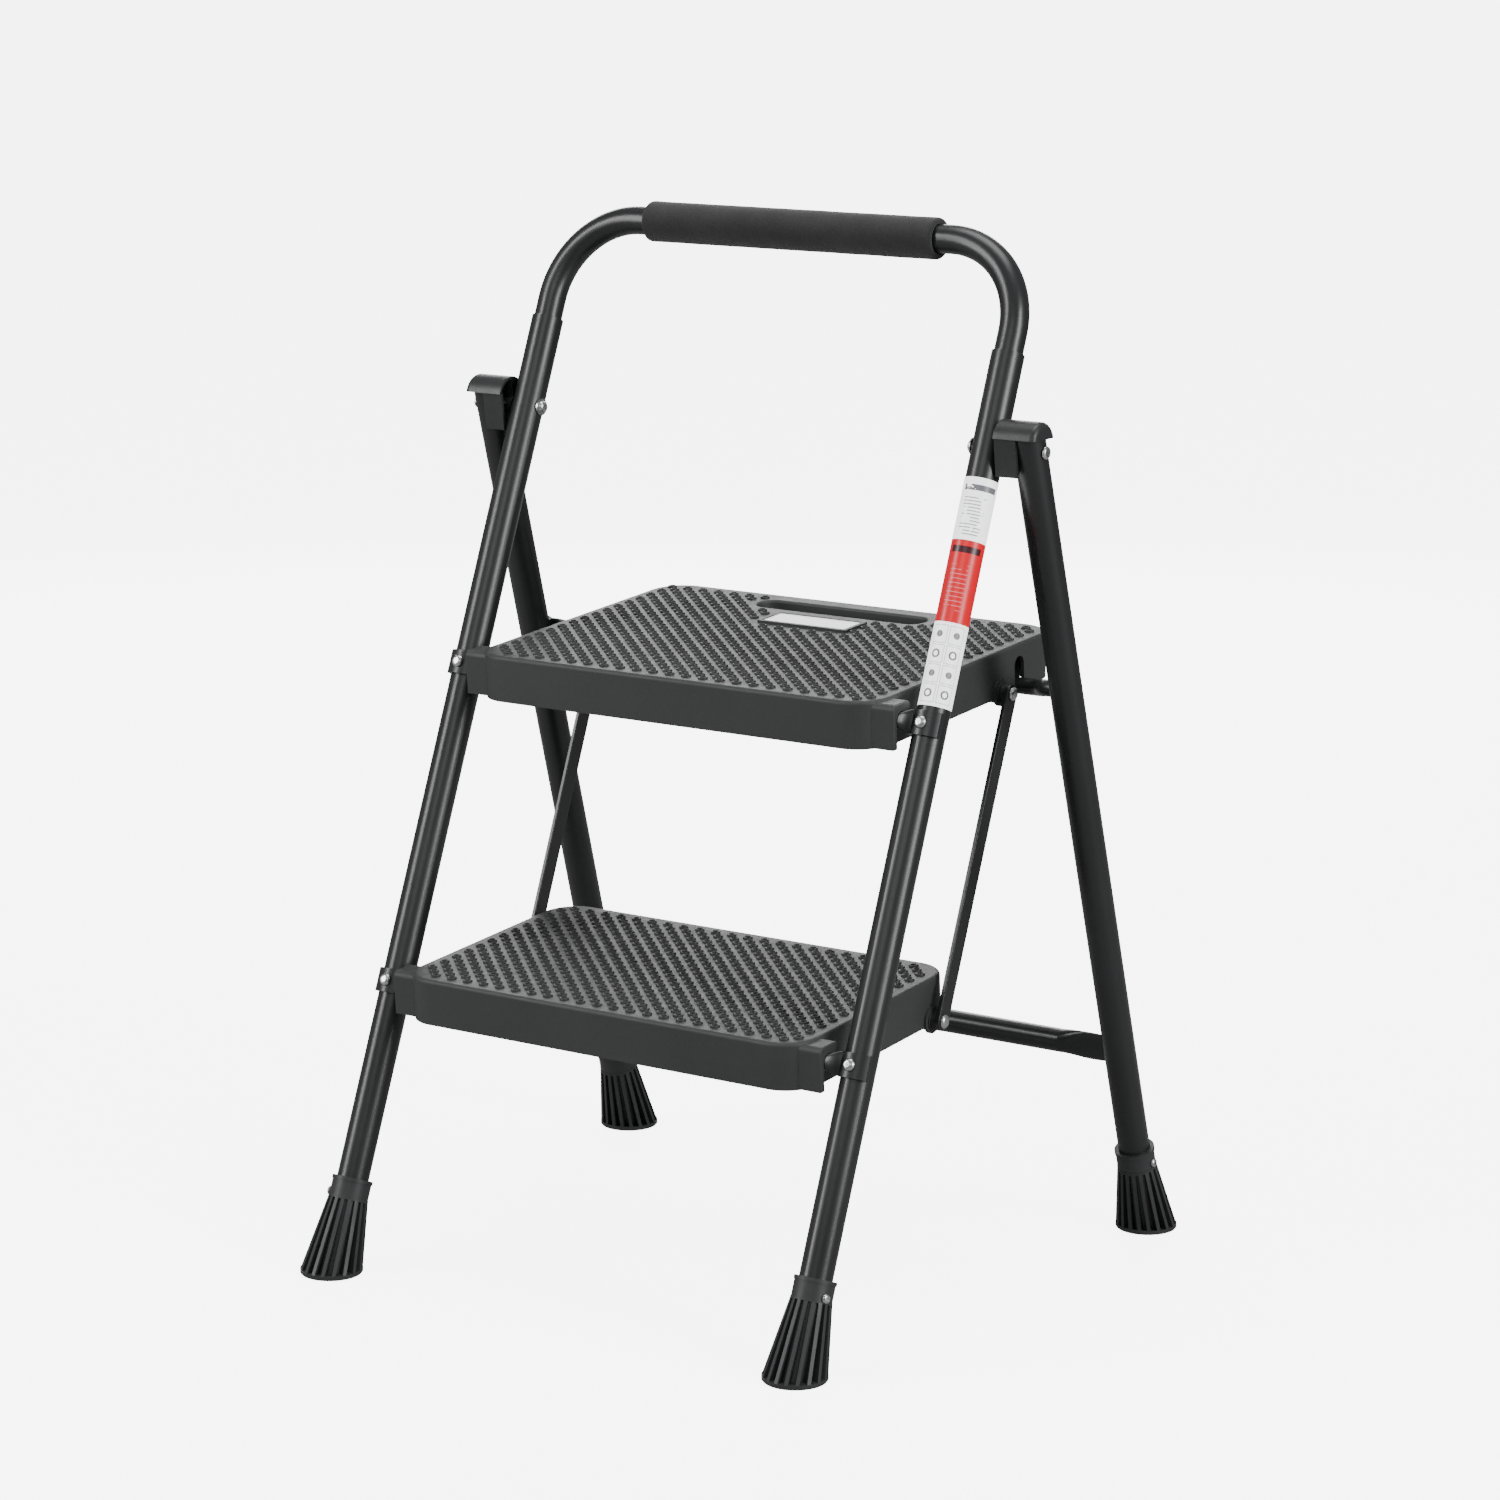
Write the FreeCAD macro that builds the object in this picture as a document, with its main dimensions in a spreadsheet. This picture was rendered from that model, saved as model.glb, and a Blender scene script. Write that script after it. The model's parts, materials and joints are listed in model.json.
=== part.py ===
import FreeCAD, Part
import Sketcher
import math
import os
from FreeCAD import Vector, Placement, Rotation, Matrix

# Folding two-step household stool with a tall handle arch.
# Millimetres, +Z up, origin on the floor midway between the four feet.
# X runs across the width. The user climbs from -Y (front) towards +Y (rear).
# The right side is x > 0. Most paired pieces are built there and mirrored to the left.

doc = FreeCAD.newDocument("FoldingStepStool")
sheet = doc.addObject("Spreadsheet::Sheet", "Sheet")

# alias, value, meaning
SIZES = [
    ("leg_radius", 12.5, "leg tube outer radius"),
    ("leg_wall", 1.2, "leg tube wall"),
    ("leg_start", 15.2, "where a leg tube stops inside its foot, along the leg"),
    ("front_length", 766.0, "front leg tube, floor point to top end"),
    ("front_foot_x", 213.9, "front foot centre from the middle"),
    ("rear_foot_x", 252.6, "rear foot centre from the middle"),
    ("foot_y", 224.55, "foot centres in front of and behind the origin"),
    ("front_slope", 0.4048, "front leg lean, y per z"),
    ("front_splay", 0.00383, "front leg inward lean, x per z"),
    ("rear_slope", 0.2932, "rear leg lean, y per z"),
    ("rear_splay", 0.00867, "rear leg inward lean, x per z"),
    ("rear_top", 652.6, "height of the rear leg tube's top end"),
    ("pivot_y", 35.9, "fold hinge axis"),
    ("pivot_z", 643.1, "fold hinge axis"),
    ("arch_radius", 11.0, "handle arch tube outer radius"),
    ("arch_wall", 1.2, "handle arch tube wall"),
    ("arch_half", 211.2, "handle arch half width"),
    ("arch_bend", 68.0, "handle arch bend radius"),
    ("arch_height", 850.0, "handle bar along the leg plane"),
    ("arch_start", 700.0, "arch tube end inside the leg"),
    ("grip_half", 132.0, "foam grip half length"),
    ("grip_radius", 16.0, "foam grip radius"),
    ("grip_bore", 11.05, "foam grip bore radius"),
    ("tube_radius", 6.5, "step and upper rear cross tube radius"),
    ("tube_wall", 1.2, "cross tube wall"),
    ("brace_radius", 9.4, "lower rear cross tube radius"),
    ("step_tilt", 3.6, "steps tilt up to the rear, degrees"),
    ("upper_y", -57.65, "upper step tube axis"),
    ("upper_z", 452.2, "upper step tube axis"),
    ("lower_y", -153.45, "lower step tube axis"),
    ("lower_z", 216.3, "lower step tube axis"),
    ("deck_top", 15.0, "deck above the tube axis"),
    ("skirt_base", -21.2, "skirt lower edge below the tube axis"),
    ("deck_front", -20.5, "deck front edge from the tube axis"),
    ("upper_rear", 250.0, "upper deck rear edge from the tube axis"),
    ("lower_rear", 194.5, "lower deck rear edge from the tube axis"),
    ("deck_half", 183.5, "deck half width"),
    ("deck_corner", 28.0, "deck corner radius"),
    ("deck_edge", 3.0, "deck top edge rounding"),
    ("shell_wall", 3.0, "moulded wall"),
    ("boss_out", 196.0, "tube boss outer face"),
    ("link_y", 160.4, "link pivot behind the tube axis"),
    ("link_z", -16.9, "link pivot below the tube axis"),
    ("link_half", 7.5, "link bar half width"),
    ("link_in", 191.3, "link bar inner face"),
    ("link_thick", 3.4, "link bar thickness"),
    ("pin_radius", 3.0, "link pin shank radius"),
    ("pin_bore", 3.07, "link bar bore radius"),
    ("ring_radius", 10.6, "link pivot ring on the skirt"),
    ("bolt_radius", 3.0, "hinge bolt shank radius"),
    ("bolt_bore", 3.1, "running bore on the hinge bolt"),
    ("foot_radius", 24.1, "foot base radius"),
    ("foot_base", 3.6, "foot base ring thickness"),
    ("collar_low", 57.0, "foot collar start along the leg"),
    ("collar_high", 73.5, "foot collar end along the leg"),
    ("collar_radius", 15.3, "foot collar radius"),
    ("lip_radius", 15.9, "foot collar lip radius"),
    ("fin_thick", 2.8, "foot fin thickness"),
    ("saddle_radius", 15.5, "flattened tube end, outer radius round the leg"),
    ("saddle_bore", 12.53, "flattened tube end, inner radius round the leg"),
    ("saddle_height", 18.5, "flattened tube end height"),
    ("brace_height", 25.5, "flattened lower rear tube end height"),
    ("rivet_bore", 2.1, "rivet hole radius"),
    ("rivet_shank", 2.0, "rivet shank radius"),
    ("rivet_head", 4.8, "rivet head radius"),
    ("upper_brace_y", 132.75, "upper rear cross tube, straight middle"),
    ("upper_brace_z", 446.0, "upper rear cross tube, straight middle"),
    ("upper_end_z", 452.5, "upper rear cross tube end on the leg"),
    ("lower_brace_z", 150.0, "lower rear cross tube"),
    ("cap_radius", 16.1, "hinge bracket barrel radius"),
    ("cap_in", 225.3, "hinge bracket inner face"),
    ("cap_out", 260.6, "hinge bracket outer face"),
    ("cap_centre", 6.6, "barrel centre above the hinge axis"),
    ("cap_fore", 2.75, "barrel centre in front of the hinge axis"),
    ("cap_lip", 9.9, "lip edge above the hinge axis"),
    ("label_low", 496.0, "label sticker start along the leg"),
    ("label_high", 668.5, "label sticker end along the leg"),
    ("label_radius", 12.72, "label sticker outer radius"),
    ("grab_half", 78.0, "hand slot half length"),
    ("grab_centre", 3.0, "hand slot centre"),
    ("grab_low", 207.5, "hand slot front edge from the tube axis"),
    ("grab_high", 232.0, "hand slot rear edge from the tube axis"),
    ("badge_x", 3.0, "plate centre"),
    ("badge_y", 177.0, "plate centre from the tube axis"),
    ("badge_half_x", 38.0, "plate half width"),
    ("badge_half_y", 13.0, "plate half depth"),
    ("notch_y", 190.0, "rear tube notch from the tube axis"),
]
for row, (alias, number, note) in enumerate(SIZES, 1):
    sheet.set("A%d" % row, alias)
    sheet.set("B%d" % row, str(number))
    sheet.set("C%d" % row, note)
    sheet.setAlias("B%d" % row, alias)
doc.recompute()


class Dim:
    """A number together with the expression that binds it to the sheet."""

    def __init__(self, value, text):
        self.value = float(value)
        self.text = text

    def __add__(self, other):
        other = dim(other)
        return Dim(self.value + other.value, "(%s + %s)" % (self.text, other.text))

    def __sub__(self, other):
        other = dim(other)
        return Dim(self.value - other.value, "(%s - %s)" % (self.text, other.text))

    def __mul__(self, other):
        other = dim(other)
        return Dim(self.value * other.value, "(%s * %s)" % (self.text, other.text))

    def __truediv__(self, other):
        other = dim(other)
        return Dim(self.value / other.value, "(%s / %s)" % (self.text, other.text))

    def __neg__(self):
        return Dim(-self.value, "(0 - %s)" % self.text)

    def __radd__(self, other):
        return dim(other) + self

    def __rmul__(self, other):
        return dim(other) * self


def dim(number):
    if isinstance(number, Dim):
        return number
    number = float(number)
    return Dim(number, "%.6f" % number if number >= 0 else "(0 - %.6f)" % -number)


def size(alias):
    """A sheet size that stays bound to its cell."""
    return Dim(float(sheet.get(alias)), "Sheet." + alias)


def value(alias):
    """A sheet size as a plain number."""
    return size(alias).value


def bind(obj, prop, number):
    obj.setExpression(prop, dim(number).text)


# =====================================================================
# Placements
# =====================================================================
X_AXIS, Y_AXIS, Z_AXIS = Vector(1, 0, 0), Vector(0, 1, 0), Vector(0, 0, 1)
Z_TO_RIGHT = Rotation(Y_AXIS, 90)    # local Z on +X
Z_TO_LEFT = Rotation(Y_AXIS, -90)    # local Z on -X, local X on +Z
Z_TO_FRONT = Rotation(X_AXIS, 90)    # local Z on -Y
Z_TO_REAR = Rotation(X_AXIS, -90)    # local Z on +Y


def shift(x, y, z):
    return Placement(Vector(x, y, z), Rotation())


def frame(origin, x_axis, z_axis):
    """Placement with local Z on z_axis and local X as near x_axis as it can be."""
    z = Vector(z_axis).normalize()
    x = Vector(x_axis)
    x = (x - z * x.dot(z)).normalize()
    y = z.cross(x)
    return Placement(Matrix(x.x, y.x, z.x, origin.x,
                            x.y, y.y, z.y, origin.y,
                            x.z, y.z, z.z, origin.z,
                            0, 0, 0, 1))


# right-hand legs: origin on the floor, local Z up the leg, local Y to the rear
FRONT = frame(Vector(value("front_foot_x"), -value("foot_y"), 0), X_AXIS,
              Vector(-value("front_splay"), value("front_slope"), 1))
REAR = frame(Vector(value("rear_foot_x"), value("foot_y"), 0), X_AXIS,
             Vector(-value("rear_splay"), -value("rear_slope"), 1))
PIVOT = Vector(0, value("pivot_y"), value("pivot_z"))
FRONT_LEG_PIVOT_X = 211.44    # leg centres at the hinge axis
REAR_LEG_PIVOT_X = 247.03


def rear_length(z):
    """Length along the rear leg up to height z."""
    return z * math.sqrt(1 + value("rear_slope") ** 2 + value("rear_splay") ** 2)


def length_on_leg(leg_frame, point):
    """Length along the leg at which its perpendicular passes through the point."""
    return leg_frame.inverse().multVec(point).z


# =====================================================================
# Sketches
# =====================================================================
def new_body(name, placement):
    body = doc.addObject("PartDesign::Body", name)
    body.Label = name
    body.Placement = placement
    return body


def new_sketch(body, name, role="XY_Plane", offset=0.0):
    sketch = body.newObject("Sketcher::SketchObject", name)
    plane = [f for f in body.Origin.OriginFeatures if f.Role == role][0]
    sketch.AttachmentSupport = [(plane, "")]
    sketch.MapMode = "FlatFace"
    offset = dim(offset)
    if offset.value != 0:
        sketch.AttachmentOffset = shift(0, 0, offset.value)
        sketch.setExpression("AttachmentOffset.Base.z", offset.text)
    return sketch


def measure(sketch, number, *constraint):
    """Adds a dimensional constraint bound to the number's expression."""
    number = dim(number)
    i = sketch.addConstraint(Sketcher.Constraint(*constraint, number.value))
    sketch.setExpression("Constraints[%d]" % i, number.text)


def pin_point(sketch, edge, end, x, y):
    measure(sketch, x, "DistanceX", -1, 1, edge, end)
    measure(sketch, y, "DistanceY", -1, 1, edge, end)


def draw_circle(sketch, x, y, radius):
    x, y, radius = dim(x), dim(y), dim(radius)
    round_edge = Part.Circle(Vector(x.value, y.value, 0), Z_AXIS, radius.value)
    edge = sketch.addGeometry(round_edge, False)
    measure(sketch, radius, "Radius", edge)
    if x.value == 0 and y.value == 0:
        sketch.addConstraint(Sketcher.Constraint("Coincident", edge, 3, -1, 1))
    else:
        pin_point(sketch, edge, 3, x, y)


def draw_outline(sketch, points):
    """Closed outline. A point is (x, y), or (x, y, mid_x, mid_y) where the edge
    that leaves it is an arc through (mid_x, mid_y)."""
    points = [[dim(number) for number in point] for point in points]
    spots = [Vector(point[0].value, point[1].value, 0) for point in points]
    edges = []    # edge, its first end, its last end
    for i, point in enumerate(points):
        first, last = spots[i], spots[(i + 1) % len(points)]
        if len(point) > 2:
            middle = Vector(point[2].value, point[3].value, 0)
            edge = sketch.addGeometry(Part.Arc(first, middle, last), False)
            flipped = sketch.Geometry[edge].StartPoint.distanceToPoint(first) > 1e-6
            edges.append((edge, 2, 1) if flipped else (edge, 1, 2))
        else:
            edge = sketch.addGeometry(Part.LineSegment(first, last), False)
            edges.append((edge, 1, 2))
    for i, point in enumerate(points):
        edge, first_end, last_end = edges[i]
        next_edge, next_end, _ = edges[(i + 1) % len(points)]
        sketch.addConstraint(
            Sketcher.Constraint("Coincident", edge, last_end, next_edge, next_end))
        pin_point(sketch, edge, first_end, point[0], point[1])
        if len(point) > 2:
            middle = Vector(point[2].value, point[3].value, 0)
            mark = sketch.addGeometry(Part.Point(middle), True)
            pin_point(sketch, mark, 1, point[2], point[3])
            sketch.addConstraint(Sketcher.Constraint("PointOnObject", mark, 1, edge))


def draw_rectangle(sketch, x0, x1, y0, y1):
    draw_outline(sketch, [(x0, y0), (x1, y0), (x1, y1), (x0, y1)])


def draw_round_rectangle(sketch, x0, x1, y0, y1, radius):
    x0, x1, y0, y1, radius = dim(x0), dim(x1), dim(y0), dim(y1), dim(radius)
    inset = radius * (1 - math.sqrt(0.5))    # corner to the arc's middle, along X and Y
    draw_outline(sketch, [
        (x0 + radius, y0), (x1 - radius, y0, x1 - inset, y0 + inset),
        (x1, y0 + radius), (x1, y1 - radius, x1 - inset, y1 - inset),
        (x1 - radius, y1), (x0 + radius, y1, x0 + inset, y1 - inset),
        (x0, y1 - radius), (x0, y0 + radius, x0 + inset, y0 + inset)])


# =====================================================================
# PartDesign features
# =====================================================================
def pad(body, sketch, length, name, reverse=False):
    feature = body.newObject("PartDesign::Pad", name)
    feature.Profile = sketch
    bind(feature, "Length", length)
    feature.Reversed = reverse
    sketch.Visibility = False
    doc.recompute()


def pocket(body, sketch, length, name, midplane=False, reverse=False):
    """A pocket against the sketch normal, or along it when reversed.
    Where it would cut nothing it is turned to the other side."""
    limit = body.Shape.Volume - 1e-6
    feature = body.newObject("PartDesign::Pocket", name)
    feature.Profile = sketch
    bind(feature, "Length", length)
    feature.Midplane = midplane
    feature.Reversed = reverse
    sketch.Visibility = False
    doc.recompute()
    if not body.Shape.Volume < limit and not midplane:
        feature.Reversed = not reverse
        doc.recompute()
    if not body.Shape.Volume < limit:
        raise RuntimeError("pocket cuts nothing: " + name)


def revolve(body, sketch, axis, name):
    feature = body.newObject("PartDesign::Revolution", name)
    feature.Profile = sketch
    feature.ReferenceAxis = (sketch, [axis])
    feature.Angle = 360
    doc.recompute()


def fillet(body, is_wanted, radius, name):
    """Rounds the body's edges for which is_wanted(edge) holds."""
    names = ["Edge%d" % (i + 1) for i, e in enumerate(body.Shape.Edges) if is_wanted(e)]
    feature = body.newObject("PartDesign::Fillet", name)
    feature.Base = (body.Tip, names) if body.Tip != feature else (feature.BaseFeature, names)
    bind(feature, "Radius", radius)
    doc.recompute()
    if "Invalid" in feature.State or not names:
        raise RuntimeError("fillet failed: " + name)


def local_centre(body, edge):
    return body.Placement.inverse().multVec(edge.CenterOfMass)


# =====================================================================
# Part objects
# =====================================================================
def cylinder(name, radius, length, placement):
    solid = doc.addObject("Part::Cylinder", name)
    bind(solid, "Radius", radius)
    bind(solid, "Height", length)
    solid.Placement = placement
    return solid


def box(name, length, width, height, placement):
    solid = doc.addObject("Part::Box", name)
    bind(solid, "Length", length)
    bind(solid, "Width", width)
    bind(solid, "Height", height)
    solid.Placement = placement
    return solid


def circle(name, radius, placement):
    edge = doc.addObject("Part::Circle", name)
    bind(edge, "Radius", radius)
    edge.Placement = placement
    return edge


def ellipse(name, major, minor, placement):
    edge = doc.addObject("Part::Ellipse", name)
    bind(edge, "MajorRadius", major)
    bind(edge, "MinorRadius", minor)
    edge.Placement = placement
    return edge


def loft(name, sections, ruled=False):
    solid = doc.addObject("Part::Loft", name)
    solid.Sections = sections
    solid.Solid = True
    solid.Ruled = ruled
    return solid


def fuse(name, shapes):
    solid = doc.addObject("Part::MultiFuse", name)
    solid.Shapes = shapes
    solid.Refine = True
    return solid


def cut(name, base, tools):
    solid = doc.addObject("Part::Cut", name)
    solid.Base = base
    solid.Tool = tools[0] if len(tools) == 1 else fuse(name + "_tools", tools)
    return solid


def common(name, base, tool):
    solid = doc.addObject("Part::Common", name)
    solid.Base = base
    solid.Tool = tool
    return solid


def mirrored(name, source):
    """Copy on the other side of the X = 0 plane."""
    copy = doc.addObject("Part::Mirroring", name)
    copy.Source = source
    copy.Normal = X_AXIS
    copy.Base = Vector(0, 0, 0)
    copy.Label = name
    return copy


# =====================================================================
# Exported pieces
# =====================================================================
NODES = []


def node(obj):
    NODES.append(obj)


def node_both(obj):
    """A right-hand piece and its left-hand mirror image as two pieces."""
    node(obj)
    node(mirrored(obj.Label.replace("right", "left"), obj))


def node_group(label, bodies):
    """Right-hand bodies and their mirror images as one piece."""
    compound = doc.addObject("Part::Compound", label)
    compound.Links = bodies + [mirrored(b.Label + "_left", b) for b in bodies]
    compound.Label = label
    node(compound)


# =====================================================================
# Places on the legs
# =====================================================================
IN_FRONT, BEHIND = -1, 1                          # side of a leg, as a sign of local Y
FRONT_SCREW_HEIGHT, REAR_SCREW_HEIGHT = 60.5, 62.0    # foot screws, along the leg
FRONT_SCREW_TURN, REAR_SCREW_TURN = -19.0, 0.0        # degrees round the leg, from local X

# front cross tubes: centres, and the places along the leg where they are riveted
upper_front_centre = Vector(0, value("upper_y"), value("upper_z"))
lower_front_centre = Vector(0, value("lower_y"), value("lower_z"))
upper_front_place = length_on_leg(FRONT, upper_front_centre)
lower_front_place = length_on_leg(FRONT, lower_front_centre)

REAR_TUBE_GAP = 14.5    # rear leg axis to the axis of a cross tube behind it


def behind_rear_leg(z):
    """Middle of a cross tube that lies behind the rear legs at height z."""
    back = REAR_TUBE_GAP / math.cos(math.atan(value("rear_slope")))
    return Vector(0, value("foot_y") - value("rear_slope") * z + back, z)


lower_rear_centre = behind_rear_leg(value("lower_brace_z"))
upper_rear_end = behind_rear_leg(value("upper_end_z"))
lower_rear_place = length_on_leg(REAR, lower_rear_centre + Vector(250, 0, 0))
upper_rear_place = length_on_leg(REAR, upper_rear_end + Vector(248.7, 0, 0))


# =====================================================================
# Legs: round steel tube, drilled for the hinge bolt, the rivets and the foot screw
# =====================================================================
FOOT_SCREW_HOLE = 1.85    # radius


def leg(name, placement, end, pivot_x, rivets, side, screw_height, screw_turn):
    """Tube along local Z; side tells which wall the rivet holes go through."""
    body = new_body(name, placement)
    sketch = new_sketch(body, name + "_ring", "XY_Plane", size("leg_start"))
    draw_circle(sketch, 0, 0, size("leg_radius"))
    draw_circle(sketch, 0, 0, size("leg_radius") - size("leg_wall"))
    pad(body, sketch, dim(end) - size("leg_start"), name + "_tube")
    if side == BEHIND:
        level_top(body, pivot_x)

    bolt = placement.inverse().multVec(PIVOT + Vector(pivot_x, 0, 0))
    sketch = new_sketch(body, name + "_bolt", "YZ_Plane")
    draw_circle(sketch, bolt.y, bolt.z, size("bolt_bore") + 0.25)
    pocket(body, sketch, 40, name + "_bolt_hole", midplane=True)

    sketch = new_sketch(body, name + "_rivets", "XZ_Plane")
    for place in rivets:
        draw_circle(sketch, 0, place, size("rivet_bore"))
    # the sketch faces -Y: reversed cuts the front wall, otherwise the back wall
    pocket(body, sketch, 20, name + "_rivet_holes", reverse=side == IN_FRONT)

    sketch = new_sketch(body, name + "_screw", "YZ_Plane")
    sketch.AttachmentOffset = Placement(Vector(0, 0, 0), Rotation(Y_AXIS, screw_turn))
    draw_circle(sketch, 0, screw_height, FOOT_SCREW_HOLE)
    pocket(body, sketch, 20, name + "_screw_hole", reverse=True)
    return body


def level_top(body, pivot_x):
    """Saws the rear leg off level, under the hinge bracket."""
    reach, tall = 40, 60
    front, back = [
        body.Placement.inverse().multVec(Vector(pivot_x, y, value("rear_top")))
        for y in (PIVOT.y - reach, PIVOT.y + reach)]
    sketch = new_sketch(body, body.Label + "_top", "YZ_Plane")
    draw_outline(sketch, [(front.y, front.z), (back.y, back.z),
                          (back.y, back.z + tall), (front.y, front.z + tall)])
    pocket(body, sketch, 80, body.Label + "_top_cut", midplane=True)


node_both(leg("front_leg_right", FRONT, size("front_length"), FRONT_LEG_PIVOT_X,
              [upper_front_place, lower_front_place], IN_FRONT,
              FRONT_SCREW_HEIGHT, FRONT_SCREW_TURN))
node_both(leg("rear_leg_right", REAR, rear_length(value("rear_top")) + 6.0, REAR_LEG_PIVOT_X,
              [upper_rear_place, lower_rear_place], BEHIND,
              REAR_SCREW_HEIGHT, REAR_SCREW_TURN))

# =====================================================================
# Handle arch: one bent tube that slides into both front legs
# =====================================================================
# local X across, local Y up the plane of the front legs
LEAN = math.atan(value("front_slope"))
ARCH = frame(Vector(0, -value("foot_y"), 0), X_AXIS,
             Vector(0, -math.cos(LEAN), math.sin(LEAN)))


def arch_spine(body):
    sketch = new_sketch(body, "arch_spine")
    half, top, low = value("arch_half"), value("arch_height"), value("arch_start")
    bend = value("arch_bend")
    inset = bend * (1 - math.sqrt(0.5))    # corner to the bend's middle, along X and Y
    right_low, right_bend = Vector(half, low, 0), Vector(half, top - bend, 0)
    right_top, left_top = Vector(half - bend, top, 0), Vector(-half + bend, top, 0)
    left_bend, left_low = Vector(-half, top - bend, 0), Vector(-half, low, 0)
    edges = [Part.LineSegment(right_low, right_bend),
             Part.Arc(right_bend, Vector(half - inset, top - inset, 0), right_top),
             Part.LineSegment(right_top, left_top),
             Part.Arc(left_top, Vector(-half + inset, top - inset, 0), left_bend),
             Part.LineSegment(left_bend, left_low)]
    for edge in edges:
        sketch.addGeometry(edge, False)
    for arc in (1, 3):
        start = sketch.Geometry[arc].StartPoint
        in_order = start.distanceToPoint(edges[arc - 1].EndPoint) < 1e-6
        first, last = (1, 2) if in_order else (2, 1)
        sketch.addConstraint(Sketcher.Constraint("Tangent", arc - 1, 2, arc, first))
        sketch.addConstraint(Sketcher.Constraint("Tangent", arc, last, arc + 1, 1))
    for direction, edge in (("Vertical", 0), ("Horizontal", 2), ("Vertical", 4)):
        sketch.addConstraint(Sketcher.Constraint(direction, edge))
    for arc in (1, 3):
        measure(sketch, size("arch_bend"), "Radius", arc)
    pin_point(sketch, 0, 1, size("arch_half"), size("arch_start"))
    pin_point(sketch, 4, 2, -size("arch_half"), size("arch_start"))
    measure(sketch, size("arch_height"), "DistanceY", -1, 1, 2, 1)
    return sketch


def handle_arch():
    body = new_body("handle_arch", ARCH)
    spine = arch_spine(body)
    profile = new_sketch(body, "arch_profile", "XZ_Plane", -size("arch_start"))
    draw_circle(profile, size("arch_half"), 0, size("arch_radius"))
    draw_circle(profile, size("arch_half"), 0, size("arch_radius") - size("arch_wall"))
    doc.recompute()
    pipe = body.newObject("PartDesign::AdditivePipe", "arch_pipe")
    pipe.Profile = profile
    pipe.Spine = (spine, [])
    pipe.Transition = 0
    doc.recompute()
    return body


def foam_grip():
    """Sleeve round the top bar with soft rounded ends."""
    body = new_body("foam_grip", ARCH * shift(0, value("arch_height"), 0))
    sketch = new_sketch(body, "grip_section")
    half, outer, bore = size("grip_half"), size("grip_radius"), size("grip_bore")
    draw_outline(sketch, [
        (-half, bore), (half, bore),
        (half, outer - 3.4, half - 0.7, outer - 1.2), (half - 2.4, outer - 0.3),
        (half - 9.0, outer), (-half + 9.0, outer),
        (-half + 2.4, outer - 0.3, -half + 0.7, outer - 1.2), (-half, outer - 3.4)])
    revolve(body, sketch, "H_Axis", "grip_sleeve")
    return body


node(handle_arch())
node(foam_grip())

# =====================================================================
# Feet: ribbed flared boots with a level sole and a collar along the leg
# =====================================================================
FIN_COUNT = 9            # each fin crosses the whole foot
FIN_TURN = 7.5           # degrees, first fin
FIN_SPAN, FIN_TALL, FIN_DROP = 64, 84, 12
SOLE_TURN = 37           # degrees, keeps the seam of the sole off the other seams
SOLE_PAD_THICK = 1.2
SOLE_LIFT = 1.0          # sole ring above the floor


def screw_frame(height, turn, radius):
    """Frame beside the leg axis whose +Z points straight out."""
    return (Placement(Vector(0, 0, height), Rotation(Z_AXIS, turn))
            * Placement(Vector(radius, 0, 0), Z_TO_RIGHT))


def foot(name, leg_frame, screw_height, screw_turn):
    base = Vector(leg_frame.Base.x, leg_frame.Base.y, 0)
    foot_radius, collar_radius = size("foot_radius"), size("collar_radius")
    collar_low, collar_high = value("collar_low"), value("collar_high")

    def up(length):
        return leg_frame * shift(0, 0, length)

    def level(z, turn=0):
        return Placement(base + Vector(0, 0, z), Rotation(Z_AXIS, turn))

    sole = cylinder(name + "_sole", foot_radius + 0.2, size("foot_base") - SOLE_LIFT,
                    level(SOLE_LIFT, SOLE_TURN))
    sole_pad = cylinder(name + "_sole_pad", foot_radius - 0.6, SOLE_PAD_THICK,
                        level(0, SOLE_TURN))
    flare = loft(name + "_flare", [
        circle(name + "_o0", foot_radius, level(3.0)),
        circle(name + "_o1", collar_radius + 0.2, up(collar_low + 1.0))], ruled=True)
    core = loft(name + "_core", [
        circle(name + "_c0", foot_radius - 6.6, level(2.2)),
        circle(name + "_c1", collar_radius - 1.6, up(collar_low + 1.2))], ruled=True)

    fins = []
    for k in range(FIN_COUNT):
        turn = Rotation(Z_AXIS, 180.0 * k / FIN_COUNT + FIN_TURN)
        place = (leg_frame * Placement(Vector(0, 0, -FIN_DROP), turn)
                 * shift(-FIN_SPAN / 2, -value("fin_thick") / 2, 0))
        fins.append(box(name + "_fin%d" % k, FIN_SPAN, size("fin_thick"), FIN_TALL, place))
    ribs = common(name + "_ribs", flare, fuse(name + "_fins", fins))

    collar = cylinder(name + "_collar", collar_radius,
                      size("collar_high") - size("collar_low"), up(collar_low))
    lip = cylinder(name + "_lip", size("lip_radius"), 3.0, up(collar_high - 3.0))
    ring = cylinder(name + "_ring", collar_radius + 0.35, 2.0, up(collar_low - 0.6))

    ribbed = fuse(name + "_ribbed", [ribs, core])
    socket = fuse(name + "_socket", [collar, lip, ring])
    boot = fuse(name + "_boot", [ribbed, fuse(name + "_base", [sole, sole_pad])])
    whole = fuse(name + "_whole", [boot, socket])
    bore = cylinder(name + "_bore", size("leg_radius") + 0.05, 80,
                    up(value("leg_start") - 0.2))
    hole = cylinder(name + "_hole", FOOT_SCREW_HOLE, 24,
                    leg_frame * screw_frame(screw_height, screw_turn, 0))
    return cut(name, whole, [bore, hole])


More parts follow.
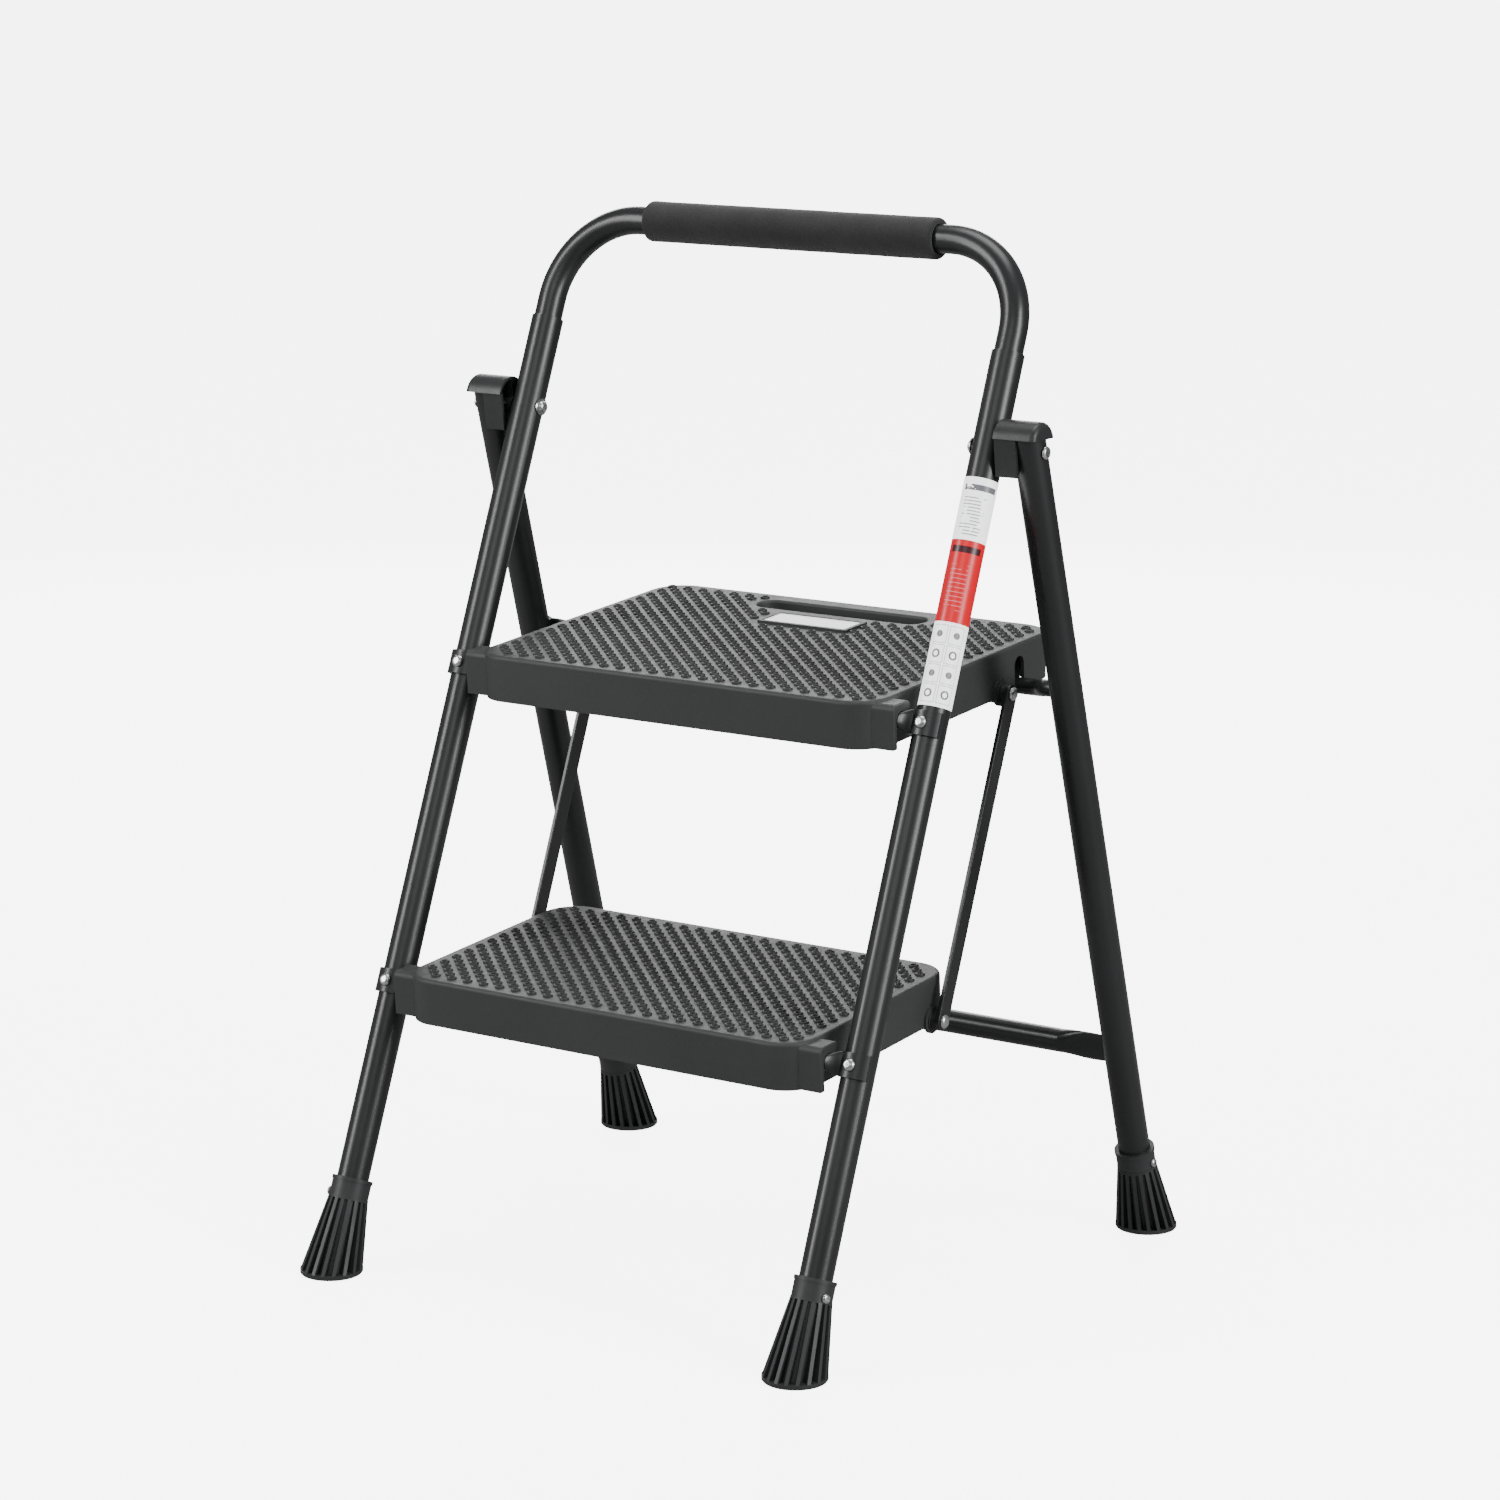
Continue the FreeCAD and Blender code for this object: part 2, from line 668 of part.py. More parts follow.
front_foot = foot("front_foot_right", FRONT, FRONT_SCREW_HEIGHT, FRONT_SCREW_TURN)
rear_foot = foot("rear_foot_right", REAR, REAR_SCREW_HEIGHT, REAR_SCREW_TURN)
node_both(front_foot)
node_both(rear_foot)


# =====================================================================
# Screws, rivets and rings
# =====================================================================
def domed_pin(name, seat, head_radius, head_height, shank_radius, shank_length):
    """Domed head on a plain shank. The head stands on the seat's +Z side."""
    body = new_body(name, seat)
    sketch = new_sketch(body, name + "_half", "XZ_Plane")
    head, tall = dim(head_radius), dim(head_height)
    shank, deep = dim(shank_radius), dim(shank_length)
    draw_outline(sketch, [
        (0, -deep), (shank, -deep), (shank, 0), (head, 0),
        (head, tall * 0.22, head * 0.8, tall * 0.76), (head * 0.38, tall), (0, tall)])
    revolve(body, sketch, "V_Axis", name + "_turned")
    return body


def ring_body(name, placement, outer, inner, thick):
    body = new_body(name, placement)
    sketch = new_sketch(body, name + "_ring")
    draw_circle(sketch, 0, 0, outer)
    draw_circle(sketch, 0, 0, inner)
    pad(body, sketch, thick, name + "_pad")
    return body


def foot_screw(name, leg_frame, height, turn):
    """Pan head screw with a cross recess, square to the foot collar."""
    seat = leg_frame * screw_frame(height, turn, value("collar_radius") + 0.4)
    body = domed_pin(name, seat, head_radius=3.6, head_height=1.9,
                     shank_radius=1.75, shank_length=6.0)
    sketch = new_sketch(body, name + "_cross", "XY_Plane", 2.1)
    arm, half = 1.9, 0.45    # arm reach and half width
    draw_outline(sketch, [
        (-arm, -half), (-half, -half), (-half, -arm), (half, -arm),
        (half, -half), (arm, -half), (arm, half), (half, half),
        (half, arm), (-half, arm), (-half, half), (-arm, half)])
    pocket(body, sketch, 1.4, name + "_recess")
    return body


node_group("front_foot_screws", [
    foot_screw("front_foot_screw", FRONT, FRONT_SCREW_HEIGHT, FRONT_SCREW_TURN)])
node_group("rear_foot_screws", [
    foot_screw("rear_foot_screw", REAR, REAR_SCREW_HEIGHT, REAR_SCREW_TURN)])

# =====================================================================
# Cross tubes with flattened ends that wrap round the legs
# =====================================================================
FLAT_X = 8.2              # last flat section, inward of the leg axis
FLAT_RADIUS = 14.05       # its distance from the leg axis
FLAT_HALF_THICK = 1.55
SADDLE_NEAR, SADDLE_FAR = 5.2, 16.5    # kept part of the saddle shell, from the leg axis


def saddle_end(name, leg_frame, place, side, height, radius, tube_end, squeezes=()):
    """Drilled end of a cross tube at the right leg, from the round tube to the saddle.
    A squeeze is an extra section: x and y from the tube end, radius along the leg
    and radius across it."""
    here = leg_frame * shift(0, 0, place)
    half = height.value / 2
    outer = cylinder(name + "_so", size("saddle_radius"), height, here * shift(0, 0, -half))
    inner = cylinder(name + "_si", size("saddle_bore"), height + 4,
                     here * shift(0, 0, -half - 2))
    keep_width, keep_y = (14.5, SADDLE_NEAR) if side == BEHIND else (22.5, -SADDLE_FAR)
    keep = box(name + "_sk", keep_width, SADDLE_FAR - SADDLE_NEAR, height + 2,
               here * shift(-10.0, keep_y, -half - 1))
    shell = common(name + "_shell", cut(name + "_sc", outer, [inner]), keep)

    # flattened sections: tall along the leg, thin across it
    flat_y = math.sqrt(FLAT_RADIUS ** 2 - FLAT_X ** 2)
    flat = here * Placement(Vector(-FLAT_X, side * (flat_y + 0.6), 0), Z_TO_LEFT)
    before_flat = here * Placement(Vector(-10.8, side * (flat_y + 1.6), 0), Z_TO_LEFT)
    leg_direction = leg_frame.Rotation.multVec(Z_AXIS)
    tube_frame = frame(tube_end, leg_direction, Vector(-1, 0, 0))
    sections = [circle(name + "_l0", radius, tube_frame)]
    for k, (x, y, tall, thin) in enumerate(squeezes):
        squeeze_frame = Placement(tube_end + Vector(x, y, 0), tube_frame.Rotation)
        sections.append(ellipse(name + "_b%d" % k, tall, thin, squeeze_frame))
    sections.append(
        ellipse(name + "_l1", height * 0.475, FLAT_HALF_THICK + 0.6, before_flat))
    sections.append(ellipse(name + "_l2", height * 0.49, FLAT_HALF_THICK, flat))
    flare = loft(name + "_flare", sections)

    # the rivet hole spans 8 to 22 mm from the leg axis
    hole_y = 22 if side == BEHIND else -8
    hole = cylinder(name + "_hole", size("rivet_bore"), 14,
                    here * Placement(Vector(0, hole_y, 0), Z_TO_FRONT))
    return cut(name + "_end", fuse(name + "_right", [flare, shell]), [hole])


def straight_bar(name, radius, half, centre):
    return cylinder(name, radius, 2 * half, Placement(centre - Vector(half, 0, 0), Z_TO_RIGHT))


def straight_cross_tube(name, prefix, leg_frame, place, side, height, radius, centre, half,
                        squeezes=()):
    """Round tube of the given half length, with a saddle at each end."""
    middle = straight_bar(prefix + "_mid", radius, half, centre)
    end = saddle_end(prefix, leg_frame, place, side, height, radius,
                     centre + Vector(half, 0, 0), squeezes)
    bore = straight_bar(prefix + "_bore", radius - size("tube_wall"), half - 6, centre)
    whole = fuse(prefix + "_whole", [middle, end, mirrored(prefix + "_end_left", end)])
    return cut(name, whole, [bore])


for tube_name, place, centre in (
        ("upper_front_cross_tube", upper_front_place, upper_front_centre),
        ("lower_front_cross_tube", lower_front_place, lower_front_centre)):
    node(straight_cross_tube(tube_name, tube_name, FRONT, place, IN_FRONT,
                             size("saddle_height"), size("tube_radius"),
                             centre, value("boss_out") + 0.4))

LOWER_REAR_SQUEEZES = [(16.0, -0.2, 11.8, 4.6), (32.0, -0.6, 12.3, 2.5)]
node(straight_cross_tube("lower_rear_cross_tube", "lower_brace", REAR, lower_rear_place, BEHIND,
                         size("brace_height"), size("brace_radius"),
                         lower_rear_centre, 190.0, LOWER_REAR_SQUEEZES))

# Upper rear cross tube: straight under the step, its ends swing to the legs.
# BRACE has local X across and local Y from the tube ends to the straight middle.
BEND_START, BEND_END = 194.0, 229.5    # the pair of bends at each end, along X
swing_vector = Vector(0, value("upper_brace_y"), value("upper_brace_z")) - upper_rear_end
SWING = swing_vector.Length
BRACE = frame(upper_rear_end, X_AXIS, X_AXIS.cross(swing_vector))
BEND_ANGLE = 2 * math.atan(SWING / (BEND_END - BEND_START))
BEND_RADIUS = (BEND_END - BEND_START) / (2 * math.sin(BEND_ANGLE))


def bent_tube(name, radius):
    """Straight middle and two opposite bends at each end."""
    parts = [cylinder(name + "_straight", radius, 2 * BEND_START,
                      BRACE * Placement(Vector(-BEND_START, SWING, 0), Z_TO_RIGHT))]
    degrees = math.degrees(BEND_ANGLE)
    bends = [    # tag, centre x and y, start angle
        ("a", BEND_START, SWING - BEND_RADIUS, 90 - degrees),
        ("b", BEND_END, BEND_RADIUS, 270 - degrees),
        ("c", -BEND_START, SWING - BEND_RADIUS, 90),
        ("d", -BEND_END, BEND_RADIUS, 270)]
    for tag, x, y, turn in bends:
        torus = doc.addObject("Part::Torus", name + "_bend_" + tag)
        torus.Radius1 = BEND_RADIUS
        bind(torus, "Radius2", radius)
        torus.Angle3 = degrees
        torus.Placement = BRACE * Placement(Vector(x, y, 0), Rotation(Z_AXIS, turn))
        parts.append(torus)
    return fuse(name, parts)


def upper_rear_cross_tube():
    radius = size("tube_radius")
    outside = bent_tube("upper_brace_outside", radius)
    end = saddle_end("upper_brace", REAR, upper_rear_place, BEHIND, size("saddle_height"),
                     radius, upper_rear_end + Vector(BEND_END, 0, 0))
    whole = fuse("upper_brace_whole", [outside, end, mirrored("upper_brace_end_left", end)])
    inside = bent_tube("upper_brace_inside", radius - size("tube_wall"))
    return cut("upper_rear_cross_tube", whole, [inside])


node(upper_rear_cross_tube())


def leg_rivet(name, leg_frame, place, side):
    """Rivet through a flattened tube end, head away from the leg."""
    seat_y = side * (value("saddle_radius") + 0.06)
    turn = Z_TO_FRONT if side == IN_FRONT else Z_TO_REAR
    seat = leg_frame * Placement(Vector(0, seat_y, place), turn)
    head, tall = size("rivet_head"), 2.7
    if side == BEHIND:
        head, tall = head - 0.5, 2.3
    return domed_pin(name, seat, head, tall, size("rivet_shank"), 7.0)


node_group("front_rivets", [
    leg_rivet("front_rivet_upper", FRONT, upper_front_place, IN_FRONT),
    leg_rivet("front_rivet_lower", FRONT, lower_front_place, IN_FRONT)])
node_group("rear_rivets", [
    leg_rivet("rear_rivet_upper", REAR, upper_rear_place, BEHIND),
    leg_rivet("rear_rivet_lower", REAR, lower_rear_place, BEHIND)])

# =====================================================================
# Hinge brackets: a barrel-roofed cap over the rear leg, with a block beside the leg
# =====================================================================
ROOF_WALL = 2.2
# ribs in the block, as centre lines from the wall to the boss: (y, z), (y, z)
BRACKET_RIBS = [
    ((-15.2, 4.0), (-5.0, 1.0)),
    ((10.2, 5.0), (5.0, 2.0)),
    ((-2.0, 21.5), (-0.4, 5.0)),
    ((-9.0, -17.4), (-3.0, -4.5)),
    ((8.6, -17.4), (3.4, -4.5)),
]
RIB_HALF_THICK = 0.9


def roof_outline(sketch, radius, lip):
    """Circle segment above the lip height; radius is the barrel's."""
    centre_y, centre_z = -value("cap_fore"), size("cap_centre")
    rise = value("cap_lip") - centre_z.value
    chord = math.sqrt(radius.value ** 2 - rise ** 2)
    draw_outline(sketch, [(centre_y - chord, lip),
                          (centre_y + chord, lip, centre_y, radius + centre_z)])


def bracket_moulding():
    body = new_body("hinge_bracket_moulding", Placement(PIVOT, Rotation()))
    inner, outer, lip = size("cap_in"), size("cap_out"), size("cap_lip")
    radius = size("cap_radius")

    # barrel roof, solid first, its outer end rounded
    sketch = new_sketch(body, "roof_section", "YZ_Plane", inner)
    roof_outline(sketch, radius, lip)
    pad(body, sketch, outer - inner, "roof")

    def is_outer_end(edge):
        bounds = edge.BoundBox
        return (abs(bounds.XMin - outer.value) < 1e-3 and abs(bounds.XMax - outer.value) < 1e-3
                and edge.Length > 40)

    fillet(body, is_outer_end, 4.5, "roof_end_round")

    # block down beside the leg, its front carried on as a plate in front of the leg
    sketch = new_sketch(body, "block_section", "YZ_Plane", inner)
    draw_outline(sketch, [(-16.8, lip + 1.0), (-13.2, -18.8), (11.0, -18.8), (11.8, lip + 1.0)])
    pad(body, sketch, 11.0, "block")
    sketch = new_sketch(body, "apron_section", "YZ_Plane", inner)
    draw_outline(sketch, [(-16.8, lip + 1.0), (-13.2, -18.8), (-10.6, -18.8),
                          (-14.2, lip + 1.0)])
    pad(body, sketch, 18.2, "apron")

    # hollows of the roof and the block, open towards the front leg
    sketch = new_sketch(body, "roof_hollow_section", "YZ_Plane", inner - 1)
    roof_outline(sketch, radius - ROOF_WALL, lip - 0.01)
    pocket(body, sketch, outer - inner - 2.0, "roof_hollow", reverse=True)
    sketch = new_sketch(body, "block_hollow_section", "YZ_Plane", inner - 1)
    draw_outline(sketch, [(-14.4, lip + 0.5), (-11.0, -16.4), (8.7, -16.4), (9.4, lip + 0.5)])
    pocket(body, sketch, 9.6, "block_hollow", reverse=True)

    # boss round the bolt and radial ribs in the block
    sketch = new_sketch(body, "boss_section", "YZ_Plane", inner)
    draw_circle(sketch, 0, 0, 6.6)
    pad(body, sketch, 8.9, "boss")
    for k, ((y0, z0), (y1, z1)) in enumerate(BRACKET_RIBS):
        along = Vector(y1 - y0, z1 - z0, 0).normalize()
        across = Vector(-along.y, along.x, 0) * RIB_HALF_THICK
        sketch = new_sketch(body, "rib%d_section" % k, "YZ_Plane", inner + 1.0)
        draw_outline(sketch, [(y0 - across.x, z0 - across.y), (y1 - across.x, z1 - across.y),
                              (y1 + across.x, z1 + across.y), (y0 + across.x, z0 + across.y)])
        pad(body, sketch, 7.6, "rib%d" % k)
    return body


def hinge_bracket():
    moulding = bracket_moulding()
    tube_inside = size("leg_radius") - size("leg_wall") - 0.1
    start_x = 215    # the tools along X start inward of the bracket

    def on_leg(offset):
        """Place on the rear leg axis, measured along it from the hinge height."""
        return REAR * shift(0, 0, rear_length(value("pivot_z")) + offset)

    def from_pivot(y, z):
        return Placement(PIVOT + Vector(start_x, y, z), Z_TO_RIGHT)

    # plug inside the leg tube, its top held under the roof
    plug = cylinder("bracket_plug", tube_inside, 40, on_leg(-14))
    under_roof = cylinder("bracket_plug_keep", size("cap_radius") - 1.0, 40.5,
                          from_pivot(-value("cap_fore"), value("cap_centre")))
    plug_low = cylinder("bracket_plug_low", tube_inside, 24, on_leg(-16))
    plug_whole = fuse("bracket_plug_whole",
                      [common("bracket_plug_top", plug, under_roof), plug_low])
    whole = fuse("bracket_whole", [moulding, plug_whole])

    # room for the bolt and for the wall of the leg tube
    bolt_bore = cylinder("bracket_bore", size("bolt_bore"), 60, from_pivot(0, 0))
    leg_room = cylinder("bracket_room", size("leg_radius") + 0.1, 60, on_leg(-40))
    leg_core = cylinder("bracket_room_core", tube_inside, 70, on_leg(-45))
    below_top = box("bracket_room_keep", 60, 80, 60,
                    shift(start_x, PIVOT.y - 40, value("rear_top") + 0.15 - 60))
    sleeve = cut("bracket_sleeve", common("bracket_room_low", leg_room, below_top), [leg_core])
    bracket = cut("hinge_bracket", whole, [bolt_bore, sleeve])
    bracket.Label = "hinge_bracket_right"
    return bracket


node_both(hinge_bracket())

# =====================================================================
# Hinge bolts, washers, nuts and spacers, all on the hinge axis
# =====================================================================
WASHER_THICK = 1.2
LEG_INNER_X = FRONT_LEG_PIVOT_X - value("leg_radius")
BOLT_SEAT_X = LEG_INNER_X - WASHER_THICK - 0.15
NUT_X = REAR_LEG_PIVOT_X + value("leg_radius") + 0.25
SPACER_X = FRONT_LEG_PIVOT_X + value("leg_radius") + 0.1


def on_hinge(x, turn):
    return Placement(PIVOT + Vector(x, 0, 0), turn)


def hinge_bolt():
    """Bolt with a hex socket, head on the inner side."""
    body = domed_pin("hinge_bolt", on_hinge(BOLT_SEAT_X, Z_TO_LEFT),
                     head_radius=5.0, head_height=3.0, shank_radius=size("bolt_radius"),
                     shank_length=NUT_X + 2.0 - BOLT_SEAT_X)
    sketch = new_sketch(body, "hinge_bolt_hex", "XY_Plane", 3.4)
    socket_radius = 1.9    # to the corners
    draw_outline(sketch, [(socket_radius * math.cos(math.radians(60 * k)),
                           socket_radius * math.sin(math.radians(60 * k)))
                          for k in range(6)])
    pocket(body, sketch, 2.2, "hinge_bolt_socket")
    return body


def hinge_nut():
    body = new_body("hinge_nut", on_hinge(NUT_X, Z_TO_RIGHT))
    sketch = new_sketch(body, "hinge_nut_half", "XZ_Plane")
    bore = size("bolt_radius") + 0.03
    draw_outline(sketch, [(bore, 0), (5.0, 0), (5.0, 0.7, 4.5, 1.6), (3.5, 2.2), (bore, 2.2)])
    revolve(body, sketch, "V_Axis", "hinge_nut_turned")
    return body


node_group("hinge_bolts", [hinge_bolt()])
node_group("hinge_washers", [
    ring_body("hinge_washer", on_hinge(LEG_INNER_X - 0.08, Z_TO_LEFT),
              outer=6.6, inner=size("bolt_radius") + 0.1, thick=WASHER_THICK)])
node_group("hinge_nuts", [hinge_nut()])
node_group("hinge_spacers", [
    ring_body("hinge_spacer", on_hinge(SPACER_X, Z_TO_RIGHT),
              outer=6.5, inner=size("bolt_radius") + 0.1, thick=1.1)])


# =====================================================================
# Label sticker wrapped round the right front leg
# =====================================================================
def label_sticker():
    body = new_body("label_sticker", FRONT)
    low, length = size("label_low"), size("label_high") - size("label_low")
    sketch = new_sketch(body, "label_section", "XY_Plane", low)
    draw_circle(sketch, 0, 0, size("label_radius"))
    draw_circle(sketch, 0, 0, size("leg_radius") + 0.03)
    pad(body, sketch, length, "label_sheet")
    # the sheet leaves the rear of the leg bare
    sketch = new_sketch(body, "label_gap_section", "XY_Plane", low - 1)
    start, end, reach, back = math.radians(25), math.radians(155), 30, 40
    x0, y0 = reach * math.cos(start), reach * math.sin(start)
    x1, y1 = reach * math.cos(end), reach * math.sin(end)
    draw_outline(sketch, [(0, 0), (x0, y0), (x0, back), (x1, back), (x1, y1)])
    pocket(body, sketch, length + 2, "label_gap", reverse=True)
    return body


node(label_sticker())

# =====================================================================
# Steps: hollow mouldings with skirts, tube bosses, ribs and link pivots.
# Local origin on the front cross tube's axis, local XY parallel to the deck.
# =====================================================================
DECK_HALF, DECK_FRONT = size("deck_half"), size("deck_front")
DECK_TOP, SKIRT_BASE, WALL = size("deck_top"), size("skirt_base"), size("shell_wall")
BOSS_OUT = size("boss_out")
UNDER_DECK = DECK_TOP - WALL
BURY = 0.5                          # how far ribs run into the wall they meet
SIDES = ((1, "_r"), (-1, "_l"))     # right and left
BOSS_IN = 152.0                     # inner end of the tube bosses
RIB_LOW, RIB_HALF = -2.0, 1.2       # rib lower edge and half thickness
RIB_COLUMNS = (-120.0, -60.0, 0.0, 60.0, 120.0)
UPPER_RIB_ROWS = (45.0, 90.0, 135.0, 172.0)
LOWER_RIB_ROWS = (40.0, 80.0, 120.0, 160.0)
HUB_COLUMNS = (-120.0, -60.0, 60.0, 120.0)
HUB_LENGTH, HUB_REACH = 12.0, 140.0
NOTCH_Y, NOTCH_Z = size("notch_y"), -18.1    # rear tube axis in the notch
CHEEK_COLUMNS = (-171.0, 171.0)
SEAT_COLUMNS = (-120.0, 120.0)


def add_block(body, part, mark, base, height, x0, x1, y0, y1):
    """Rectangular block that rises from the base height."""
    sketch = new_sketch(body, body.Label + "_" + part + mark, "XY_Plane", base)
    draw_rectangle(sketch, x0, x1, y0, y1)
    pad(body, sketch, height, body.Label + "_" + part + "pad" + mark)


def add_pivot_disc(body, part, side, mark, inner_x, radius, thick):
    """Disc on the link pivot that runs outwards from inner_x."""
    sketch = new_sketch(body, body.Label + "_" + part + mark, "YZ_Plane", side * inner_x)
    draw_circle(sketch, size("link_y"), size("link_z"), radius)
    pad(body, sketch, thick, body.Label + "_" + part + "pad" + mark, reverse=side < 0)


def deck_shell(body, rear):
    name = body.Label
    sketch = new_sketch(body, name + "_outline", "XY_Plane", SKIRT_BASE)
    draw_round_rectangle(sketch, -DECK_HALF, DECK_HALF, DECK_FRONT, rear, size("deck_corner"))
    pad(body, sketch, DECK_TOP - SKIRT_BASE, name + "_block")
    fillet(body, lambda e: abs(local_centre(body, e).z - DECK_TOP.value) < 1e-3,
           size("deck_edge"), name + "_edge_round")
    # hollow underside
    sketch = new_sketch(body, name + "_hollow_outline", "XY_Plane", SKIRT_BASE)
    draw_round_rectangle(sketch, -DECK_HALF + WALL, DECK_HALF - WALL, DECK_FRONT + WALL,
                         rear - WALL, size("deck_corner") - WALL)
    pocket(body, sketch, DECK_TOP - SKIRT_BASE - WALL, name + "_hollow", reverse=True)


def tube_bosses(body):
    """Arched housings at both front corners, hollowed, with the tube slot."""
    name = body.Label
    for side, mark in SIDES:
        sketch = new_sketch(body, name + "_boss" + mark, "YZ_Plane", BOSS_IN * side)
        draw_outline(sketch, [
            (-11.0, SKIRT_BASE + 0.6), (13.0, SKIRT_BASE + 0.6), (13.0, 8.6, 11.4, 11.9),
            (8.6, 13.2), (-6.4, 13.2, -9.8, 11.8), (-11.0, 8.6)])
        pad(body, sketch, BOSS_OUT - BOSS_IN, name + "_bosspad" + mark, reverse=side < 0)

    def is_outer_face_edge(edge):
        bounds = edge.BoundBox
        return (abs(abs(bounds.XMin) - BOSS_OUT.value) < 1e-3
                and abs(abs(bounds.XMax) - BOSS_OUT.value) < 1e-3
                and bounds.XLength < 1e-3)

    fillet(body, is_outer_face_edge, 1.2, name + "_boss_round")
    # the core goes, the outer end wall stays
    core_in = BOSS_IN - 1
    for side, mark in SIDES:
        sketch = new_sketch(body, name + "_bosscore" + mark, "YZ_Plane", core_in * side)
        draw_outline(sketch, [(-8.0, SKIRT_BASE - 1), (10.0, SKIRT_BASE - 1),
                              (10.0, 4.5, 1.0, 10.0), (-8.0, 4.5)])
        pocket(body, sketch, BOSS_OUT - core_in - 4.0, name + "_bosscut" + mark,
               reverse=side > 0)
    sketch = new_sketch(body, name + "_tube_slot", "YZ_Plane")
    draw_outline(sketch, [(-6.9, SKIRT_BASE - 1), (6.9, SKIRT_BASE - 1),
                          (6.9, 0.2, 0, 7.1), (-6.9, 0.2)])
    pocket(body, sketch, 2 * (BOSS_OUT + 5), name + "_tube_way", midplane=True)
    # the rear wall of each boss is cut short where it stands outside the skirt
    for side, mark in SIDES:
        sketch = new_sketch(body, name + "_bossrear" + mark, "XY_Plane", -9.0)
        x0, x1 = sorted((side * (DECK_HALF.value + 0.1), side * (BOSS_OUT.value + 1.0)))
        draw_rectangle(sketch, x0, x1, 6.8, 14.5)
        pocket(body, sketch, 20.0, name + "_bossrear_cut" + mark)


def deck_ribs(body, rear, is_upper):
    height = UNDER_DECK - RIB_LOW + BURY
    for k, x in enumerate(RIB_COLUMNS):
        # the middle ribs of the upper step stop in front of the hand slot
        stops_short = is_upper and abs(x) < 90
        rib_end = size("grab_low") - 4.0 if stops_short else rear - WALL + BURY
        add_block(body, "ribx", str(k), RIB_LOW, height,
                  x - RIB_HALF, x + RIB_HALF, 9.0, rib_end)
    reach = DECK_HALF - WALL + BURY
    for k, y in enumerate(UPPER_RIB_ROWS if is_upper else LOWER_RIB_ROWS):
        add_block(body, "riby", str(k), RIB_LOW, height,
                  -reach, reach, y - RIB_HALF, y + RIB_HALF)


def tube_hubs(body):
    """Hubs that clip over the cross tube."""
    name = body.Label
    for k, x in enumerate(HUB_COLUMNS):
        sketch = new_sketch(body, name + "_hub%d" % k, "YZ_Plane", x - HUB_LENGTH / 2)
        draw_outline(sketch, [(-10.4, 0), (-10.4, UNDER_DECK + BURY), (10.4, UNDER_DECK + BURY),
                              (10.4, 0), (7.6, -7.1), (-7.6, -7.1)])
        pad(body, sketch, HUB_LENGTH, name + "_hubpad%d" % k)
    sketch = new_sketch(body, name + "_hub_bore", "YZ_Plane")
    draw_circle(sketch, 0, 0, size("tube_radius") + 0.08)
    pocket(body, sketch, 2 * HUB_REACH, name + "_hub_way", midplane=True)
    sketch = new_sketch(body, name + "_hub_mouth", "YZ_Plane")
    draw_outline(sketch, [(-5.3, -3.0), (5.3, -3.0), (6.3, -9.0), (-6.3, -9.0)])
    pocket(body, sketch, 2 * HUB_REACH, name + "_hub_mouth_way", midplane=True)


def link_pivots(body):
    """Stepped rings on the side skirts, with a boss and a web inside each."""
    pivot_y, pivot_z, radius = size("link_y"), size("link_z"), size("ring_radius")
    skirt_in = DECK_HALF - WALL
    for side, mark in SIDES:
        add_pivot_disc(body, "ring", side, mark, DECK_HALF - 0.5, radius, 2.4)
        add_pivot_disc(body, "ring2", side, mark, DECK_HALF + 1.5, radius - 2.6, 1.6)
        add_pivot_disc(body, "inner", side, mark, skirt_in - 9.0, radius - 2.0, 9.5)
        x0, x1 = side * (skirt_in - 8.5), side * (skirt_in + BURY)
        if side < 0:
            x0, x1 = x1, x0
        add_block(body, "web", mark, pivot_z + 2.0, UNDER_DECK - pivot_z - 1.5,
                  x0, x1, pivot_y - 1.5, pivot_y + 1.5)
    sketch = new_sketch(body, body.Label + "_pin_bore", "YZ_Plane")
    draw_circle(sketch, pivot_y, pivot_z, size("pin_radius") + 0.03)
    pocket(body, sketch, 2 * (DECK_HALF + 10), body.Label + "_pin_way", midplane=True)


def rear_tube_notch(body):
    """Notch for the rear cross tube, open downwards and flared at its mouth."""
    # cheek walls a little inside the skirt
    cheek_low = -17.0
    for k, x in enumerate(CHEEK_COLUMNS):
        add_block(body, "cheek", str(k), cheek_low, UNDER_DECK - cheek_low + BURY,
                  x - RIB_HALF, x + RIB_HALF, NOTCH_Y - 14.0, NOTCH_Y + 36.0)
    sketch = new_sketch(body, body.Label + "_notch", "YZ_Plane")
    draw_outline(sketch, [
        (NOTCH_Y - 10.6, SKIRT_BASE - 8.0), (NOTCH_Y + 7.6, SKIRT_BASE - 8.0),
        (NOTCH_Y + 6.9, SKIRT_BASE + 2.0),
        (NOTCH_Y + 6.9, NOTCH_Z + 16.2, NOTCH_Y, NOTCH_Z + 23.1),
        (NOTCH_Y - 6.9, NOTCH_Z + 16.2), (NOTCH_Y - 6.9, NOTCH_Z + 2.5),
        (NOTCH_Y - 9.2, SKIRT_BASE)])
    pocket(body, sketch, 2 * (DECK_HALF + 10), body.Label + "_notch_way", midplane=True)
    # pads that rest on the rear tube
    tube_top = NOTCH_Z + size("tube_radius")
    for k, x in enumerate(SEAT_COLUMNS):
        add_block(body, "seat", str(k), tube_top + 0.25, UNDER_DECK - tube_top,
                  x - 9, x + 9, NOTCH_Y - 5.5, NOTCH_Y + 5.5)
    # above the tube the cheek walls stay closed
    brow_low = -10.8
    for k, x in enumerate(CHEEK_COLUMNS):
        add_block(body, "brow", str(k), brow_low, UNDER_DECK - brow_low + BURY,
                  x - RIB_HALF, x + RIB_HALF, NOTCH_Y - 10.5, NOTCH_Y + 8.0)


